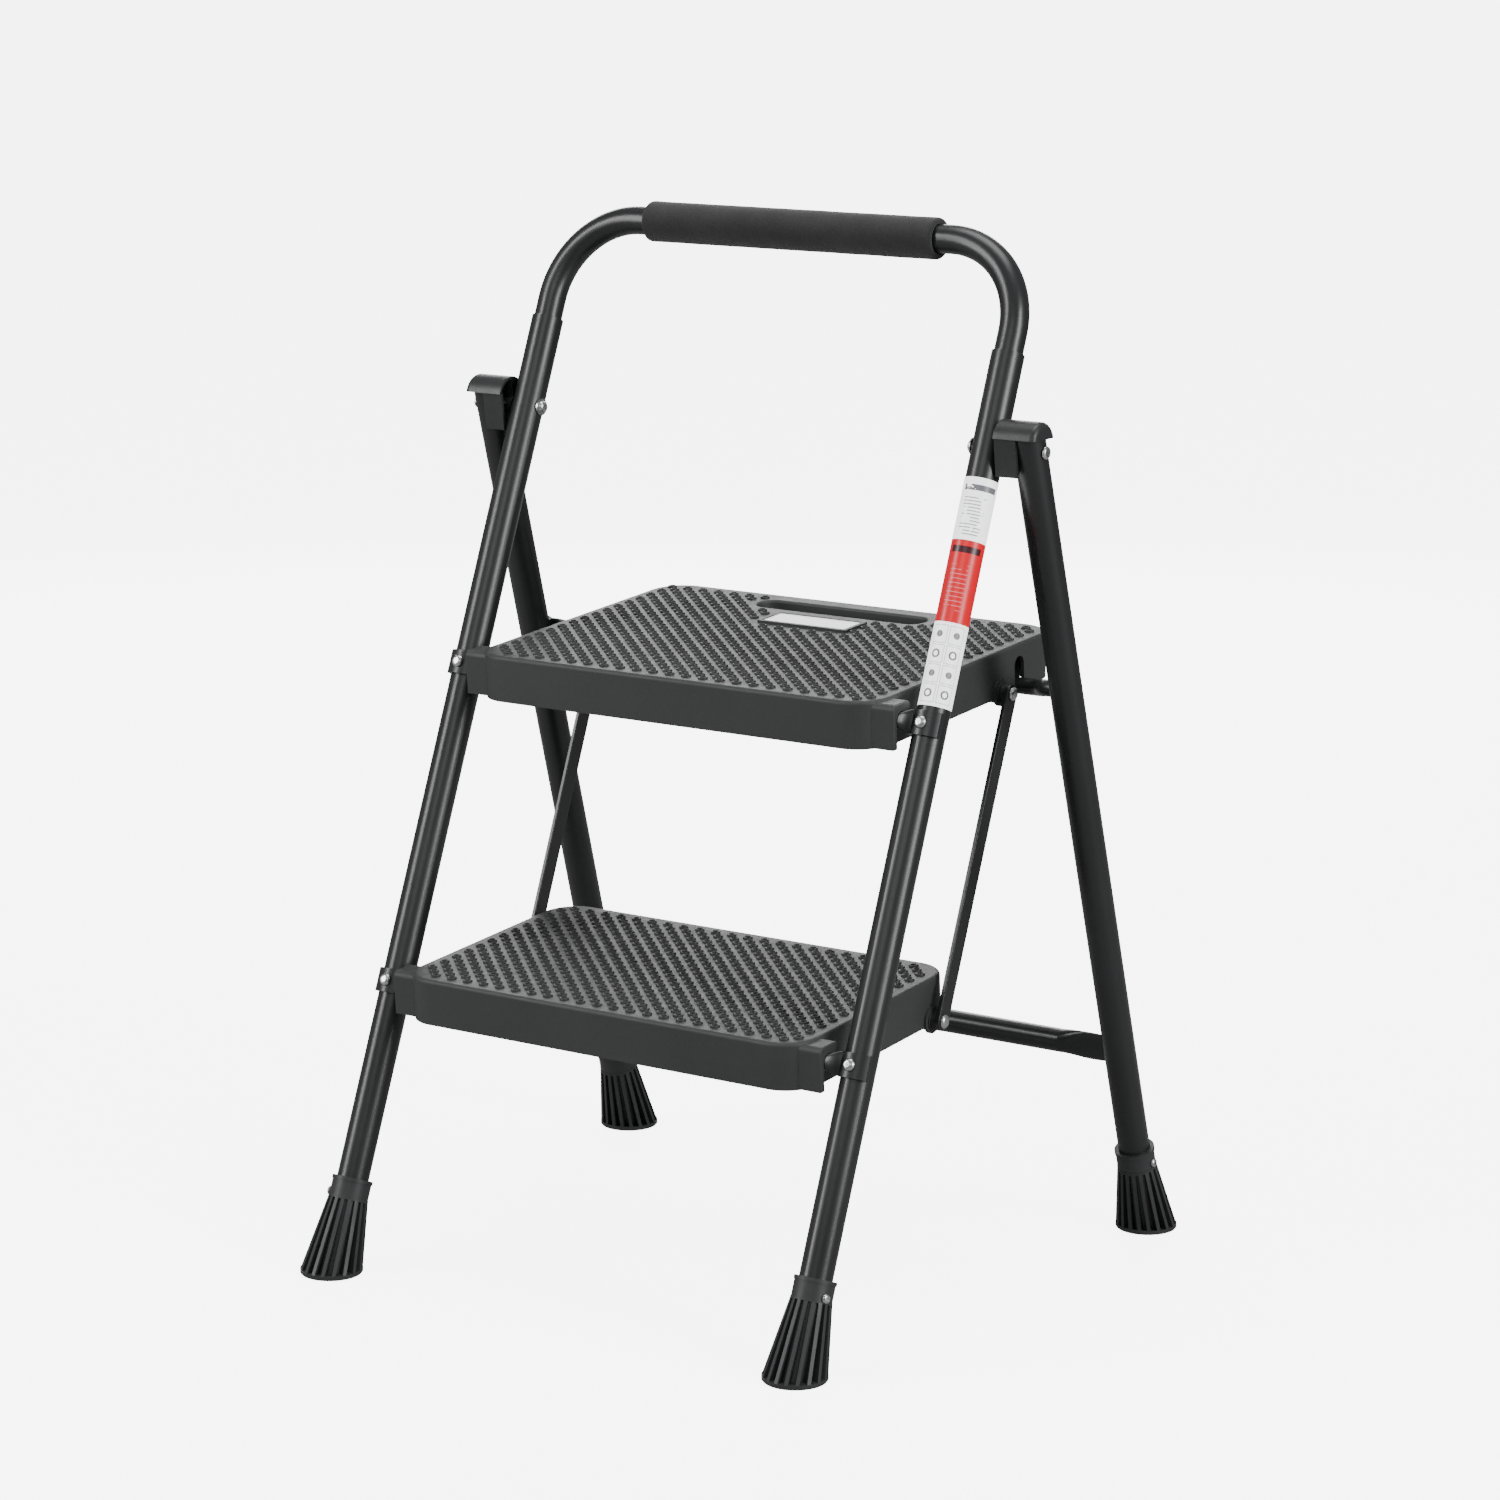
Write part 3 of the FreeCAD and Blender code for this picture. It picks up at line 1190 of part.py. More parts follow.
def hand_slot(body):
    """Round-ended slot through the deck, with a collar under it."""
    name = body.Label
    centre, half = size("grab_centre"), size("grab_half")
    slot_radius = (size("grab_high") - size("grab_low")) / 2
    middle = (size("grab_high") + size("grab_low")) / 2
    left, right = centre - half + slot_radius, centre + half - slot_radius

    def draw_slot(sketch, radius):
        draw_outline(sketch, [(left, middle - radius),
                              (right, middle - radius, right + radius, middle),
                              (right, middle + radius),
                              (left, middle + radius, left - radius, middle)])

    def is_slot_rim(edge):
        spot = local_centre(body, edge)
        return (abs(spot.z - DECK_TOP.value) < 1e-3
                and middle.value - 15 < spot.y < middle.value + 15 and abs(spot.x) < 90)

    collar_low = -4.0
    sketch = new_sketch(body, name + "_collar", "XY_Plane", collar_low)
    draw_slot(sketch, slot_radius + 2.6)
    pad(body, sketch, UNDER_DECK - collar_low + BURY, name + "_collarpad")
    sketch = new_sketch(body, name + "_grab", "XY_Plane", DECK_TOP + 1.0)
    draw_slot(sketch, slot_radius)
    pocket(body, sketch, 40.0, name + "_grab_way")
    fillet(body, is_slot_rim, 2.2, name + "_grab_round")


def draw_badge(sketch, margin, corner):
    """The plate's outline grown by a margin on every side."""
    x, y = size("badge_x"), size("badge_y")
    half_x, half_y = size("badge_half_x") + margin, size("badge_half_y") + margin
    draw_round_rectangle(sketch, x - half_x, x + half_x, y - half_y, y + half_y, corner)


def badge_frame(body):
    """Raised frame for the plate."""
    name = body.Label
    sketch = new_sketch(body, name + "_frame", "XY_Plane", DECK_TOP - 1.0)
    draw_badge(sketch, 3.4, 1.6)
    pad(body, sketch, 3.0, name + "_framepad")
    sketch = new_sketch(body, name + "_frame_in", "XY_Plane", DECK_TOP + 3.0)
    draw_badge(sketch, 0.3, 0.8)
    pocket(body, sketch, 3.0, name + "_frame_way")


def step(name, placement, rear, is_upper):
    body = new_body(name, placement)
    deck_shell(body, rear)
    tube_bosses(body)
    deck_ribs(body, rear, is_upper)
    tube_hubs(body)
    link_pivots(body)
    if is_upper:
        rear_tube_notch(body)
        hand_slot(body)
        badge_frame(body)
    return body


def badge_plate(placement):
    body = new_body("badge_plate", placement)
    sketch = new_sketch(body, "plate_outline", "XY_Plane", DECK_TOP + 0.02)
    draw_badge(sketch, 0, 0.7)
    pad(body, sketch, 1.4, "plate_sheet")
    return body


STEP_TURN = Rotation(X_AXIS, value("step_tilt"))
UPPER = Placement(upper_front_centre, STEP_TURN)
LOWER = Placement(lower_front_centre, STEP_TURN)
node(step("upper_step", UPPER, size("upper_rear"), True))
node(step("lower_step", LOWER, size("lower_rear"), False))
node(badge_plate(UPPER))

# =====================================================================
# Link bars between the steps, with their pins and spacers
# =====================================================================
link_pivot = Vector(0, value("link_y"), value("link_z"))
upper_pin_point = UPPER.multVec(link_pivot)
lower_pin_point = LOWER.multVec(link_pivot)


def link_bar():
    """Round-ended flat bar, local X from the upper pin to the lower one."""
    span = lower_pin_point - upper_pin_point
    body = new_body("link_bar_right", frame(
        upper_pin_point + Vector(value("link_in"), 0, 0), Vector(0, span.y, span.z), X_AXIS))
    sketch = new_sketch(body, "link_outline")
    length, half = span.Length, size("link_half")
    draw_outline(sketch, [(0, -half), (length, -half, length + half, 0),
                          (length, half), (0, half, -half, 0)])
    draw_circle(sketch, 0, 0, size("pin_bore"))
    draw_circle(sketch, length, 0, size("pin_bore") + 0.08)
    pad(body, sketch, size("link_thick"), "link_strip")

    def is_face_edge(edge):
        """The long edges, the round ends and the bore rims."""
        is_curve = 10 < edge.Length < 40 and edge.BoundBox.XLength < 1e-3
        return abs(edge.Length - length) < 0.5 or is_curve

    fillet(body, is_face_edge, 0.7, "link_edge_round")
    return body


def link_pin(name, point):
    seat_x = value("link_in") + value("link_thick") + 0.25
    return domed_pin(name, Placement(Vector(seat_x, point.y, point.z), Z_TO_RIGHT),
                     head_radius=5.3, head_height=2.6, shank_radius=size("pin_radius"),
                     shank_length=seat_x - (value("deck_half") - 12.5))


def link_spacer(name, point):
    """Ring between the skirt's pivot ring and the link bar."""
    inner_x = value("deck_half") + 3.1 + 0.15
    return ring_body(name, Placement(Vector(inner_x, point.y, point.z), Z_TO_RIGHT),
                     outer=6.8, inner=size("pin_radius") + 0.05,
                     thick=size("link_in") - 0.2 - inner_x)


node_both(link_bar())
node_group("upper_link_pins", [link_pin("upper_link_pin", upper_pin_point)])
node_group("lower_link_pins", [link_pin("lower_link_pin", lower_pin_point)])
node_group("upper_link_spacers", [link_spacer("upper_link_spacer", upper_pin_point)])
node_group("lower_link_spacers", [link_spacer("lower_link_spacer", lower_pin_point)])

doc.recompute()

# =====================================================================
# One file for each piece
# =====================================================================
bad = [o.Name for o in doc.Objects if "Invalid" in o.State or "Error" in o.State]
if bad:
    raise RuntimeError("failed objects: " + ", ".join(bad))
labels = [o.Label for o in NODES]
if len(set(labels)) != len(labels):
    raise RuntimeError("two pieces share a label")
for piece in NODES:
    shape = piece.Shape
    if shape.isNull() or not shape.isValid() or not shape.Solids or shape.Volume <= 0:
        raise RuntimeError("bad shape: " + piece.Label)
SMALLEST_FOOT = 38000    # volume of a foot that has all its fins
for piece in (front_foot, rear_foot):
    if len(piece.Shape.Solids) != 1 or piece.Shape.Volume < SMALLEST_FOOT:
        raise RuntimeError("a foot lost its fins: " + piece.Label)

os.makedirs("parts", exist_ok=True)
for piece in NODES:
    piece.Shape.exportStep("parts/%s.step" % piece.Label)
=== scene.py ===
"""Two-step stool with a foam-gripped handle bar.

X runs across the steps, -Y is the front, +Z is up and the floor is at z = 0.
Product sizes are in mm and scaled by MM; lights and floor are in metres.
"""

import json
import math

import bpy
import numpy as np
from mathutils import Matrix, Vector, noise


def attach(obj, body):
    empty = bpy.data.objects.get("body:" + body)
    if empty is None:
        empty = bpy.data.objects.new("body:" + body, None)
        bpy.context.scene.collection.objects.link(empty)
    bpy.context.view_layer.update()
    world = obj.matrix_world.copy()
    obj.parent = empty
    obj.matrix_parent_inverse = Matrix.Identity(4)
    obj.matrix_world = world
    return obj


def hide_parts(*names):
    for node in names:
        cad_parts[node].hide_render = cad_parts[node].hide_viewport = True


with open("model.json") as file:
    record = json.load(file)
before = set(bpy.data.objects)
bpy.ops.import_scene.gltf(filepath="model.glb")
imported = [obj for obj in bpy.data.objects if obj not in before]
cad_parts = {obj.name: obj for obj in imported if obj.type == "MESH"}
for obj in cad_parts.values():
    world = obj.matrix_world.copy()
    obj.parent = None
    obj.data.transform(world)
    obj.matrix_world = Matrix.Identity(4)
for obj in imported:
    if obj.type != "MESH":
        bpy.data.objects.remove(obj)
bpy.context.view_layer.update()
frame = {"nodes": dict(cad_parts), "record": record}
MM = 0.001
MM_PER_M = 1000.0

# The leg on the +X side of the front frame: its foot, and its lean to the rear per unit of height
LEG_LEAN = 0.4048
LEG_BASE = Vector((213.9, -224.55, 0.0))
LEG_DIR = Vector((-0.00383, LEG_LEAN, 1.0)).normalized()
LEG_RADIUS = 12.7

# ---------------------------------------------------------------- materials


class Mat:
    """Node material builder. Its methods take and return sockets, or take plain values."""

    def __init__(self, name):
        self.material = bpy.data.materials.new(name)
        self.material.use_nodes = True
        self.tree = self.material.node_tree
        self.tree.nodes.clear()
        output = self.add("ShaderNodeOutputMaterial")
        self.bsdf = self.add("ShaderNodeBsdfPrincipled")
        self.feed(output.inputs["Surface"], self.bsdf.outputs["BSDF"])
        self.coord = self.add("ShaderNodeTexCoord").outputs["Object"]

    def add(self, kind):
        return self.tree.nodes.new(kind)

    def feed(self, socket, value):
        """Link a socket into an input, or set the input to a plain value."""
        if isinstance(value, bpy.types.NodeSocket):
            self.tree.links.new(value, socket)
        else:
            socket.default_value = value

    def set(self, **values):
        for key, value in values.items():
            self.feed(self.bsdf.inputs[key.replace("_", " ")], value)

    def noise(self, scale, detail=4.0, rough=0.55):
        node = self.add("ShaderNodeTexNoise")
        node.inputs["Scale"].default_value = scale
        node.inputs["Detail"].default_value = detail
        node.inputs["Roughness"].default_value = rough
        self.feed(node.inputs["Vector"], self.coord)
        return node.outputs["Fac"]

    def voronoi(self, scale):
        node = self.add("ShaderNodeTexVoronoi")
        node.inputs["Scale"].default_value = scale
        self.feed(node.inputs["Vector"], self.coord)
        return node.outputs["Distance"]

    def ramp(self, source, low, high):
        """Colour ramp between two (position, colour) stops."""
        node = self.add("ShaderNodeValToRGB")
        self.feed(node.inputs["Fac"], source)
        for element, (position, colour) in zip(node.color_ramp.elements, (low, high)):
            element.position = position
            element.color = colour
        return node.outputs["Color"]

    def mix(self, fac, base, colour, blend="MIX"):
        node = self.add("ShaderNodeMixRGB")
        node.blend_type = blend
        self.feed(node.inputs["Fac"], fac)
        self.feed(node.inputs["Color1"], base)
        self.feed(node.inputs["Color2"], colour)
        return node.outputs["Color"]

    def bump(self, height, strength, distance, under=None):
        node = self.add("ShaderNodeBump")
        node.inputs["Strength"].default_value = strength
        node.inputs["Distance"].default_value = distance
        self.feed(node.inputs["Height"], height)
        if under is not None:
            self.feed(node.inputs["Normal"], under)
        return node.outputs["Normal"]

    def math(self, operation, *operands):
        node = self.add("ShaderNodeMath")
        node.operation = operation
        for i, operand in enumerate(operands):
            self.feed(node.inputs[i], operand)
        return node.outputs["Value"]

    # Masks: 1 inside the shape, 0 outside

    def both(self, a, b):
        return self.math("MULTIPLY", a, b)

    def inside(self, value, low, high):
        return self.both(self.math("GREATER_THAN", value, low),
                         self.math("LESS_THAN", value, high))

    def stripes(self, value, pitch, duty):
        turns = self.math("MULTIPLY", self.math("ADD", value, 0.0), 1.0 / pitch)
        return self.math("LESS_THAN", self.math("FRACT", turns), duty)


def grey(value, tint=(1.0, 1.0, 1.0)):
    return (value * tint[0], value * tint[1], value * tint[2], 1.0)


# Tints that cool a grey
BLUE_BLACK = (0.94, 1.0, 1.05)
GREEN_GREY = (0.95, 1.0, 0.99)
COOL_BLACK = (0.96, 1.0, 1.02)


def powder_coat():
    m = Mat("black_powder_coat")
    cloud = m.noise(scale=14.0, detail=3.0)
    fine = m.noise(scale=900.0, detail=2.0, rough=0.6)
    micro = m.noise(scale=2600.0, detail=1.0, rough=0.5)
    m.set(
        Base_Color=m.ramp(cloud, low=(0.3, grey(0.0100, BLUE_BLACK)),
                          high=(0.75, grey(0.0140, BLUE_BLACK))),
        Roughness=m.ramp(cloud, low=(0.25, grey(0.33)), high=(0.8, grey(0.40))),
        Metallic=0.0, Specular_IOR_Level=0.55, Coat_Weight=0.14, Coat_Roughness=0.24)
    normal = m.bump(fine, strength=0.08, distance=0.00016)
    m.set(Normal=m.bump(micro, strength=0.03, distance=0.00005, under=normal))
    return m.material


def moulding(name, shades, roughness, grain, strength, tint=(1.0, 1.0, 1.0), spec=0.45):
    """Grained plastic; shades and roughness are (low, high) pairs."""
    m = Mat(name)
    dark, light = (grey(shade, tint) for shade in shades)
    cloud = m.noise(scale=9.0)
    fine = m.noise(scale=grain, detail=3.0, rough=0.65)
    speck = m.voronoi(scale=grain * 1.7)
    colour = m.ramp(cloud, low=(0.3, dark), high=(0.72, light))
    # faint lighter scuffs
    scuff = m.noise(scale=60.0, detail=6.0, rough=0.72)
    scuff_mask = m.ramp(scuff, low=(0.60, grey(0.0)), high=(0.82, grey(0.16)))
    scuff_colour = tuple(min(1.0, channel * 1.55) for channel in light[:3]) + (1.0,)
    m.set(
        Base_Color=m.mix(scuff_mask, colour, scuff_colour),
        Roughness=m.ramp(scuff, low=(0.3, grey(roughness[0])), high=(0.75, grey(roughness[1]))),
        Specular_IOR_Level=spec)
    normal = m.bump(speck, strength=strength * 0.5, distance=0.00018)
    m.set(Normal=m.bump(fine, strength=strength, distance=0.00022, under=normal))
    return m.material


def foot_rubber():
    m = Mat("foot_rubber")
    cloud = m.noise(scale=30.0)
    fine = m.noise(scale=1100.0, detail=2.0)
    m.set(
        Base_Color=m.ramp(cloud, low=(0.3, grey(0.026, COOL_BLACK)),
                          high=(0.75, grey(0.036, COOL_BLACK))),
        Roughness=m.ramp(cloud, low=(0.3, grey(0.42)), high=(0.75, grey(0.56))),
        Specular_IOR_Level=0.5,
        Normal=m.bump(fine, strength=0.22, distance=0.0002))
    return m.material


def foam():
    m = Mat("grip_foam")
    cells = m.voronoi(scale=1500.0)
    pores = m.voronoi(scale=620.0)
    cloud = m.noise(scale=45.0, detail=5.0, rough=0.6)
    fine = m.noise(scale=1900.0, detail=3.0, rough=0.7)
    colour = m.ramp(cloud, low=(0.3, grey(0.026)), high=(0.72, grey(0.037)))
    # painted shade: the pores are darkened, as shade in the holes
    pore_painted_shade = m.ramp(pores, low=(0.05, grey(0.72)), high=(0.35, grey(1.0)))
    m.set(
        Base_Color=m.mix(1.0, colour, pore_painted_shade, blend="MULTIPLY"),
        Roughness=0.92, Specular_IOR_Level=0.18, Sheen_Weight=0.22, Sheen_Roughness=0.5)
    normal = m.bump(cells, strength=0.55, distance=0.00035)
    m.set(Normal=m.bump(fine, strength=0.5, distance=0.0003, under=normal))
    return m.material


def zinc():
    m = Mat("zinc_plate")
    cloud = m.noise(scale=240.0)
    fine = m.noise(scale=2400.0, detail=2.0)
    m.set(
        Base_Color=m.ramp(cloud, low=(0.3, (0.50, 0.51, 0.52, 1.0)),
                          high=(0.7, (0.74, 0.74, 0.73, 1.0))),
        Roughness=m.ramp(cloud, low=(0.3, grey(0.22)), high=(0.75, grey(0.38))),
        Metallic=1.0,
        Normal=m.bump(fine, strength=0.15, distance=0.0001))
    return m.material


def plate_white():
    m = Mat("plate_white")
    cloud = m.noise(scale=60.0, detail=3.0)
    colour = m.ramp(cloud, low=(0.3, (0.66, 0.67, 0.67, 1.0)), high=(0.75, (0.76, 0.77, 0.77, 1.0)))
    fine = m.noise(scale=1400.0, detail=2.0)
    # painted glow: the plate emits light in its own colour so it reads brighter
    m.set(
        Base_Color=colour, Emission_Color=colour, Emission_Strength=0.8,
        Roughness=0.35, Specular_IOR_Level=0.5,
        Normal=m.bump(fine, strength=0.06, distance=0.0001))
    return m.material


def leg_coordinates(m):
    """Mm along the leg from its foot, and mm round it: 0 at +X, negative towards the front."""
    separate = m.add("ShaderNodeSeparateXYZ")
    m.feed(separate.inputs["Vector"], m.coord)
    px, py, pz = (separate.outputs[axis] for axis in "XYZ")

    def distance_on(axis):
        total = m.math("MULTIPLY", px, axis.x * MM_PER_M)
        total = m.math("MULTIPLY_ADD", py, axis.y * MM_PER_M, total)
        total = m.math("MULTIPLY_ADD", pz, axis.z * MM_PER_M, total)
        return m.math("SUBTRACT", total, LEG_BASE.dot(axis))

    side = (Vector((1, 0, 0)) - LEG_DIR * LEG_DIR.x).normalized()
    along = distance_on(LEG_DIR)
    across = distance_on(side)
    depth = distance_on(LEG_DIR.cross(side))
    return along, m.math("MULTIPLY", m.math("ARCTAN2", depth, across), LEG_RADIUS)


def sticker():
    """White film with a red band; plain bars and boxes stand in for print."""
    white = (0.95, 0.96, 0.96, 1.0)
    red = (0.80, 0.0, 0.012, 1.0)
    ink = (0.10, 0.10, 0.105, 1.0)
    pale = (0.22, 0.225, 0.23, 1.0)
    heading_grey = (0.09, 0.09, 0.10, 1.0)
    bar_pink = (0.86, 0.25, 0.28, 1.0)
    heading_dark_red = (0.05, 0.006, 0.01, 1.0)
    red_band = (559.0, 621.0)    # from and to, mm along the leg

    m = Mat("sticker_film")
    along, around = leg_coordinates(m)

    def patch(along_low, along_high, around_low, around_high):
        return m.both(m.inside(along, along_low, along_high),
                      m.inside(around, around_low, around_high))

    def ragged_bars(pitch, duty, low, high):
        bars = m.both(m.stripes(along, pitch, duty), m.inside(along, low, high))
        return m.both(bars, ragged)

    colour = m.mix(m.inside(along, *red_band), white, red)
    # noise breaks the bars into uneven lengths
    ragged = m.math("GREATER_THAN", m.noise(scale=150.0, detail=2.0), 0.42)

    # white panel above the band: grey bars under a dark heading
    bars = ragged_bars(pitch=2.5, duty=0.34, low=623.5, high=655.0)
    colour = m.mix(m.both(bars, m.inside(around, -24.0, -6.5)), colour, pale)
    heading = m.both(m.inside(along, 658.5, 663.0),
                     m.both(m.inside(around, -26.0, 1.0), ragged))
    colour = m.mix(heading, colour, heading_grey)

    # red band: light bars under a dark heading
    bars = ragged_bars(pitch=3.4, duty=0.17, low=566.0, high=604.0)
    colour = m.mix(m.both(bars, m.inside(around, -23.0, -9.0)), colour, bar_pink)
    colour = m.mix(patch(611.5, 616.5, -26.0, -2.0), colour, heading_dark_red)

    # lower panel: two columns of outlined boxes, rows of rings and of discs by turns
    box_start, box_pitch, box_length, box_width, line = 498.6, 14.8, 13.6, 12.0, 0.4
    column_centres = (-7.5, -21.0)
    for row in range(4):
        low = box_start + box_pitch * row
        high = low + box_length
        for centre in column_centres:
            left = centre - box_width / 2
            right = centre + box_width / 2
            full = patch(low, high, left, right)
            core = patch(low + line, high - line, left + line, right - line)
            colour = m.mix(m.math("SUBTRACT", full, core), colour, pale)
        for centre in column_centres:
            du = m.math("SUBTRACT", around, centre)
            ds = m.math("SUBTRACT", along, low + box_length / 2)
            squares = m.math("ADD", m.math("MULTIPLY", du, du), m.math("MULTIPLY", ds, ds))
            radius = m.math("SQRT", squares)
            if row % 2 == 0:
                mark = m.inside(radius, 1.9, 3.4)
            else:
                mark = m.math("LESS_THAN", radius, 2.6)
            colour = m.mix(mark, colour, ink)

    fine = m.noise(scale=700.0, detail=2.0)
    # painted glow: the white film glows at 1.45, the red band at 1.45 - 1.25
    glow = m.math("MULTIPLY_ADD", m.inside(along, *red_band), -1.25, 1.45)
    m.set(
        Base_Color=colour, Emission_Color=colour, Emission_Strength=glow,
        Roughness=0.34, Specular_IOR_Level=0.5, Coat_Weight=0.08, Coat_Roughness=0.2,
        Normal=m.bump(fine, strength=0.05, distance=0.0001))
    return m.material


TUBE = powder_coat()
STEP = moulding("grey_moulding", shades=(0.036, 0.045), tint=GREEN_GREY,
                roughness=(0.50, 0.62), grain=1500.0, strength=0.32)
# painted shade: the rings take a darker copy of the step moulding, for the shade on their sides
SHADED_TREAD = moulding("tread_painted_shade", shades=(0.019, 0.025), tint=GREEN_GREY,
                 roughness=(0.46, 0.56), grain=1900.0, strength=0.22)
BRACKET = moulding("black_moulding", shades=(0.022, 0.029), tint=COOL_BLACK,
                   roughness=(0.36, 0.46), grain=1800.0, strength=0.18, spec=0.5)
NYLON = moulding("nylon", shades=(0.02, 0.03), roughness=(0.5, 0.6), grain=1800.0, strength=0.2)
FOOT = foot_rubber()
FOAM = foam()
ZINC = zinc()
PLATE = plate_white()
STICKER = sticker()

MATERIAL_OF_SLOT = {
    "black_tube": TUBE, "link_steel": TUBE, "grip_foam": FOAM, "foot_rubber": FOOT,
    "grey_moulding": STEP, "black_moulding": BRACKET, "zinc": ZINC, "nylon": NYLON,
    "sticker": STICKER, "plate_white": PLATE,
}
slot_of = {part["node"]: part["material_slot"] for part in frame["record"]["subparts"]}
for name, obj in frame["nodes"].items():
    obj.data.materials.clear()
    obj.data.materials.append(MATERIAL_OF_SLOT[slot_of[name]])


def mesh_object(name, verts, faces, material, body):
    """Smooth-shaded mesh that rides on a body of the frame."""
    mesh = bpy.data.meshes.new(name)
    mesh.from_pydata([tuple(v) for v in verts], [], faces)
    mesh.validate()
    mesh.update()
    mesh.shade_smooth()
    obj = bpy.data.objects.new(name, mesh)
    bpy.context.scene.collection.objects.link(obj)
    mesh.materials.append(material)
    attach(obj, body)
    return obj


# ---------------------------------------------------------------- tread rings
# Step frame: x from the middle, y to the rear, z up from the step's origin.

STEP_TILT = 3.6        # degrees about X
STEP_TOP = 15.0
STEP_HALF = 183.5      # half the width
STEP_FRONT = -20.5
STEP_CORNER = 28.0     # corner radius in plan
RING_PITCH = 7.6       # between rows; rings in a row stand two pitches apart
RING_SHIFT = 3.8       # x of a ring in the odd rows; even rows move on by one pitch
FIRST_ROW = -8.6
SIDE_MARGIN = 9.5
REAR_MARGIN = 11.5
CORNER_MARGIN = 7.6
RING_SEG = 20
# Ring section, outer foot to inner foot: radius, height above the step top
RING = [
    (3.85, -0.15), (3.80, 0.45), (3.62, 0.95), (3.25, 1.32), (2.80, 1.45),
    (2.38, 1.30), (2.12, 0.95), (1.98, 0.45), (1.90, -0.15),
]

# Openings in the upper step, both centred on the same x
OPENING_X = 3.0
HAND_SLOT_Y, HAND_SLOT_HALF, HAND_SLOT_RADIUS, HAND_SLOT_MARGIN = 219.75, 78.0, 12.25, 6.5
PLATE_Y, PLATE_HALF_X, PLATE_HALF_Y = 177.0, 38.0, 13.0
PLATE_MARGIN = 3.4 + 4.4    # frame, then clearance


def step_place(y, z):
    tilt = Matrix.Rotation(math.radians(STEP_TILT), 4, "X")
    return Matrix.Translation((0, y * MM, z * MM)) @ tilt


def in_corner(x, y, rear):
    """Whether a ring centre is too near a rounded corner of the step."""
    dx = abs(x) - (STEP_HALF - STEP_CORNER)
    dy = max(STEP_FRONT + STEP_CORNER - y, y - (rear - STEP_CORNER))
    return dx > 0 and dy > 0 and math.hypot(dx, dy) > STEP_CORNER - CORNER_MARGIN


def in_upper_openings(x, y):
    """Whether a ring centre is too near the hand slot or the plate frame."""
    dx = max(abs(x - OPENING_X) - (HAND_SLOT_HALF - HAND_SLOT_RADIUS), 0.0)
    if math.hypot(dx, y - HAND_SLOT_Y) < HAND_SLOT_RADIUS + HAND_SLOT_MARGIN:
        return True
    return (abs(x - OPENING_X) < PLATE_HALF_X + PLATE_MARGIN
            and abs(y - PLATE_Y) < PLATE_HALF_Y + PLATE_MARGIN)


def ring_centres(rear, blocked):
    """Staggered rows from front to rear, each from -x to +x."""
    limit = STEP_HALF - SIDE_MARGIN
    spacing = 2 * RING_PITCH
    centres = []
    for row in range(math.floor((rear - REAR_MARGIN - FIRST_ROW) / RING_PITCH) + 1):
        y = FIRST_ROW + row * RING_PITCH
        start = RING_SHIFT if row % 2 else RING_SHIFT + RING_PITCH
        first = math.ceil((-limit - start) / spacing)
        last = math.floor((limit - start) / spacing)
        for k in range(first, last + 1):
            x = start + k * spacing
            if not in_corner(x, y, rear) and not blocked(x, y):
                centres.append((x, y))
    return centres


def tread(name, place, rear, body, blocked):
    """Raised rings over one step, as a single mesh."""
    angles = np.linspace(0, 2 * math.pi, RING_SEG, endpoint=False)
    circle = list(zip(np.cos(angles), np.sin(angles)))
    verts, faces = [], []
    for cx, cy in ring_centres(rear, blocked):
        base = len(verts)
        for r, z in RING:
            for c, s in circle:
                verts.append(((cx + r * c) * MM, (cy + r * s) * MM, (STEP_TOP + z) * MM))
        for i in range(len(RING) - 1):
            for j in range(RING_SEG):
                a = base + i * RING_SEG + j
                b = base + i * RING_SEG + (j + 1) % RING_SEG
                faces.append((a, b, b + RING_SEG, a + RING_SEG))
    placed = np.c_[np.array(verts), np.ones(len(verts))] @ np.array(place).T
    mesh_object(name, placed[:, :3], faces, SHADED_TREAD, body)


tread("tread_rings_upper", step_place(y=-57.65, z=452.2), rear=250.0,
      body="upper_step", blocked=in_upper_openings)
tread("tread_rings_lower", step_place(y=-153.45, z=216.3), rear=194.5,
      body="lower_step", blocked=lambda x, y: False)

# ---------------------------------------------------------------- foam grip

GRIP_HALF = 132.0
GRIP_OUTER = 16.0
GRIP_BORE = 11.08
GRIP_SEG = 96
GRIP_STATIONS = 150
BAR_UP_LEG = 850.0     # from the leg's foot to the handle bar
lean_angle = math.atan(LEG_LEAN)
BAR = Vector((0.0, -224.55 + BAR_UP_LEG * math.sin(lean_angle),
              BAR_UP_LEG * math.cos(lean_angle))) * MM


def grip_profile():
    """Points (x, radius) from the bore at -x, over the outside, to the bore at +x."""
    edge = 2.2         # radius of the rounded outer edge
    end = [
        (-GRIP_HALF + 6.0, GRIP_BORE), (-GRIP_HALF + 1.2, GRIP_BORE),
        (-GRIP_HALF + 0.25, GRIP_BORE + 0.5), (-GRIP_HALF, GRIP_BORE + 1.4),
        (-GRIP_HALF, GRIP_OUTER - 2.6),
    ]
    for k in range(1, 7):
        a = math.pi / 2 * k / 6
        end.append((-GRIP_HALF + edge - edge * math.cos(a),
                    GRIP_OUTER - 2.4 + edge * math.sin(a)))
    middle = []
    for k in range(1, GRIP_STATIONS):
        x = -GRIP_HALF + 3.0 + (2 * GRIP_HALF - 6.0) * k / GRIP_STATIONS
        to_end = min(x + GRIP_HALF, GRIP_HALF - x)
        middle.append((x, GRIP_OUTER - 0.2 + 0.18 * math.exp(-to_end / 7.0)))
    return end + middle + [(-x, r) for x, r in reversed(end)]


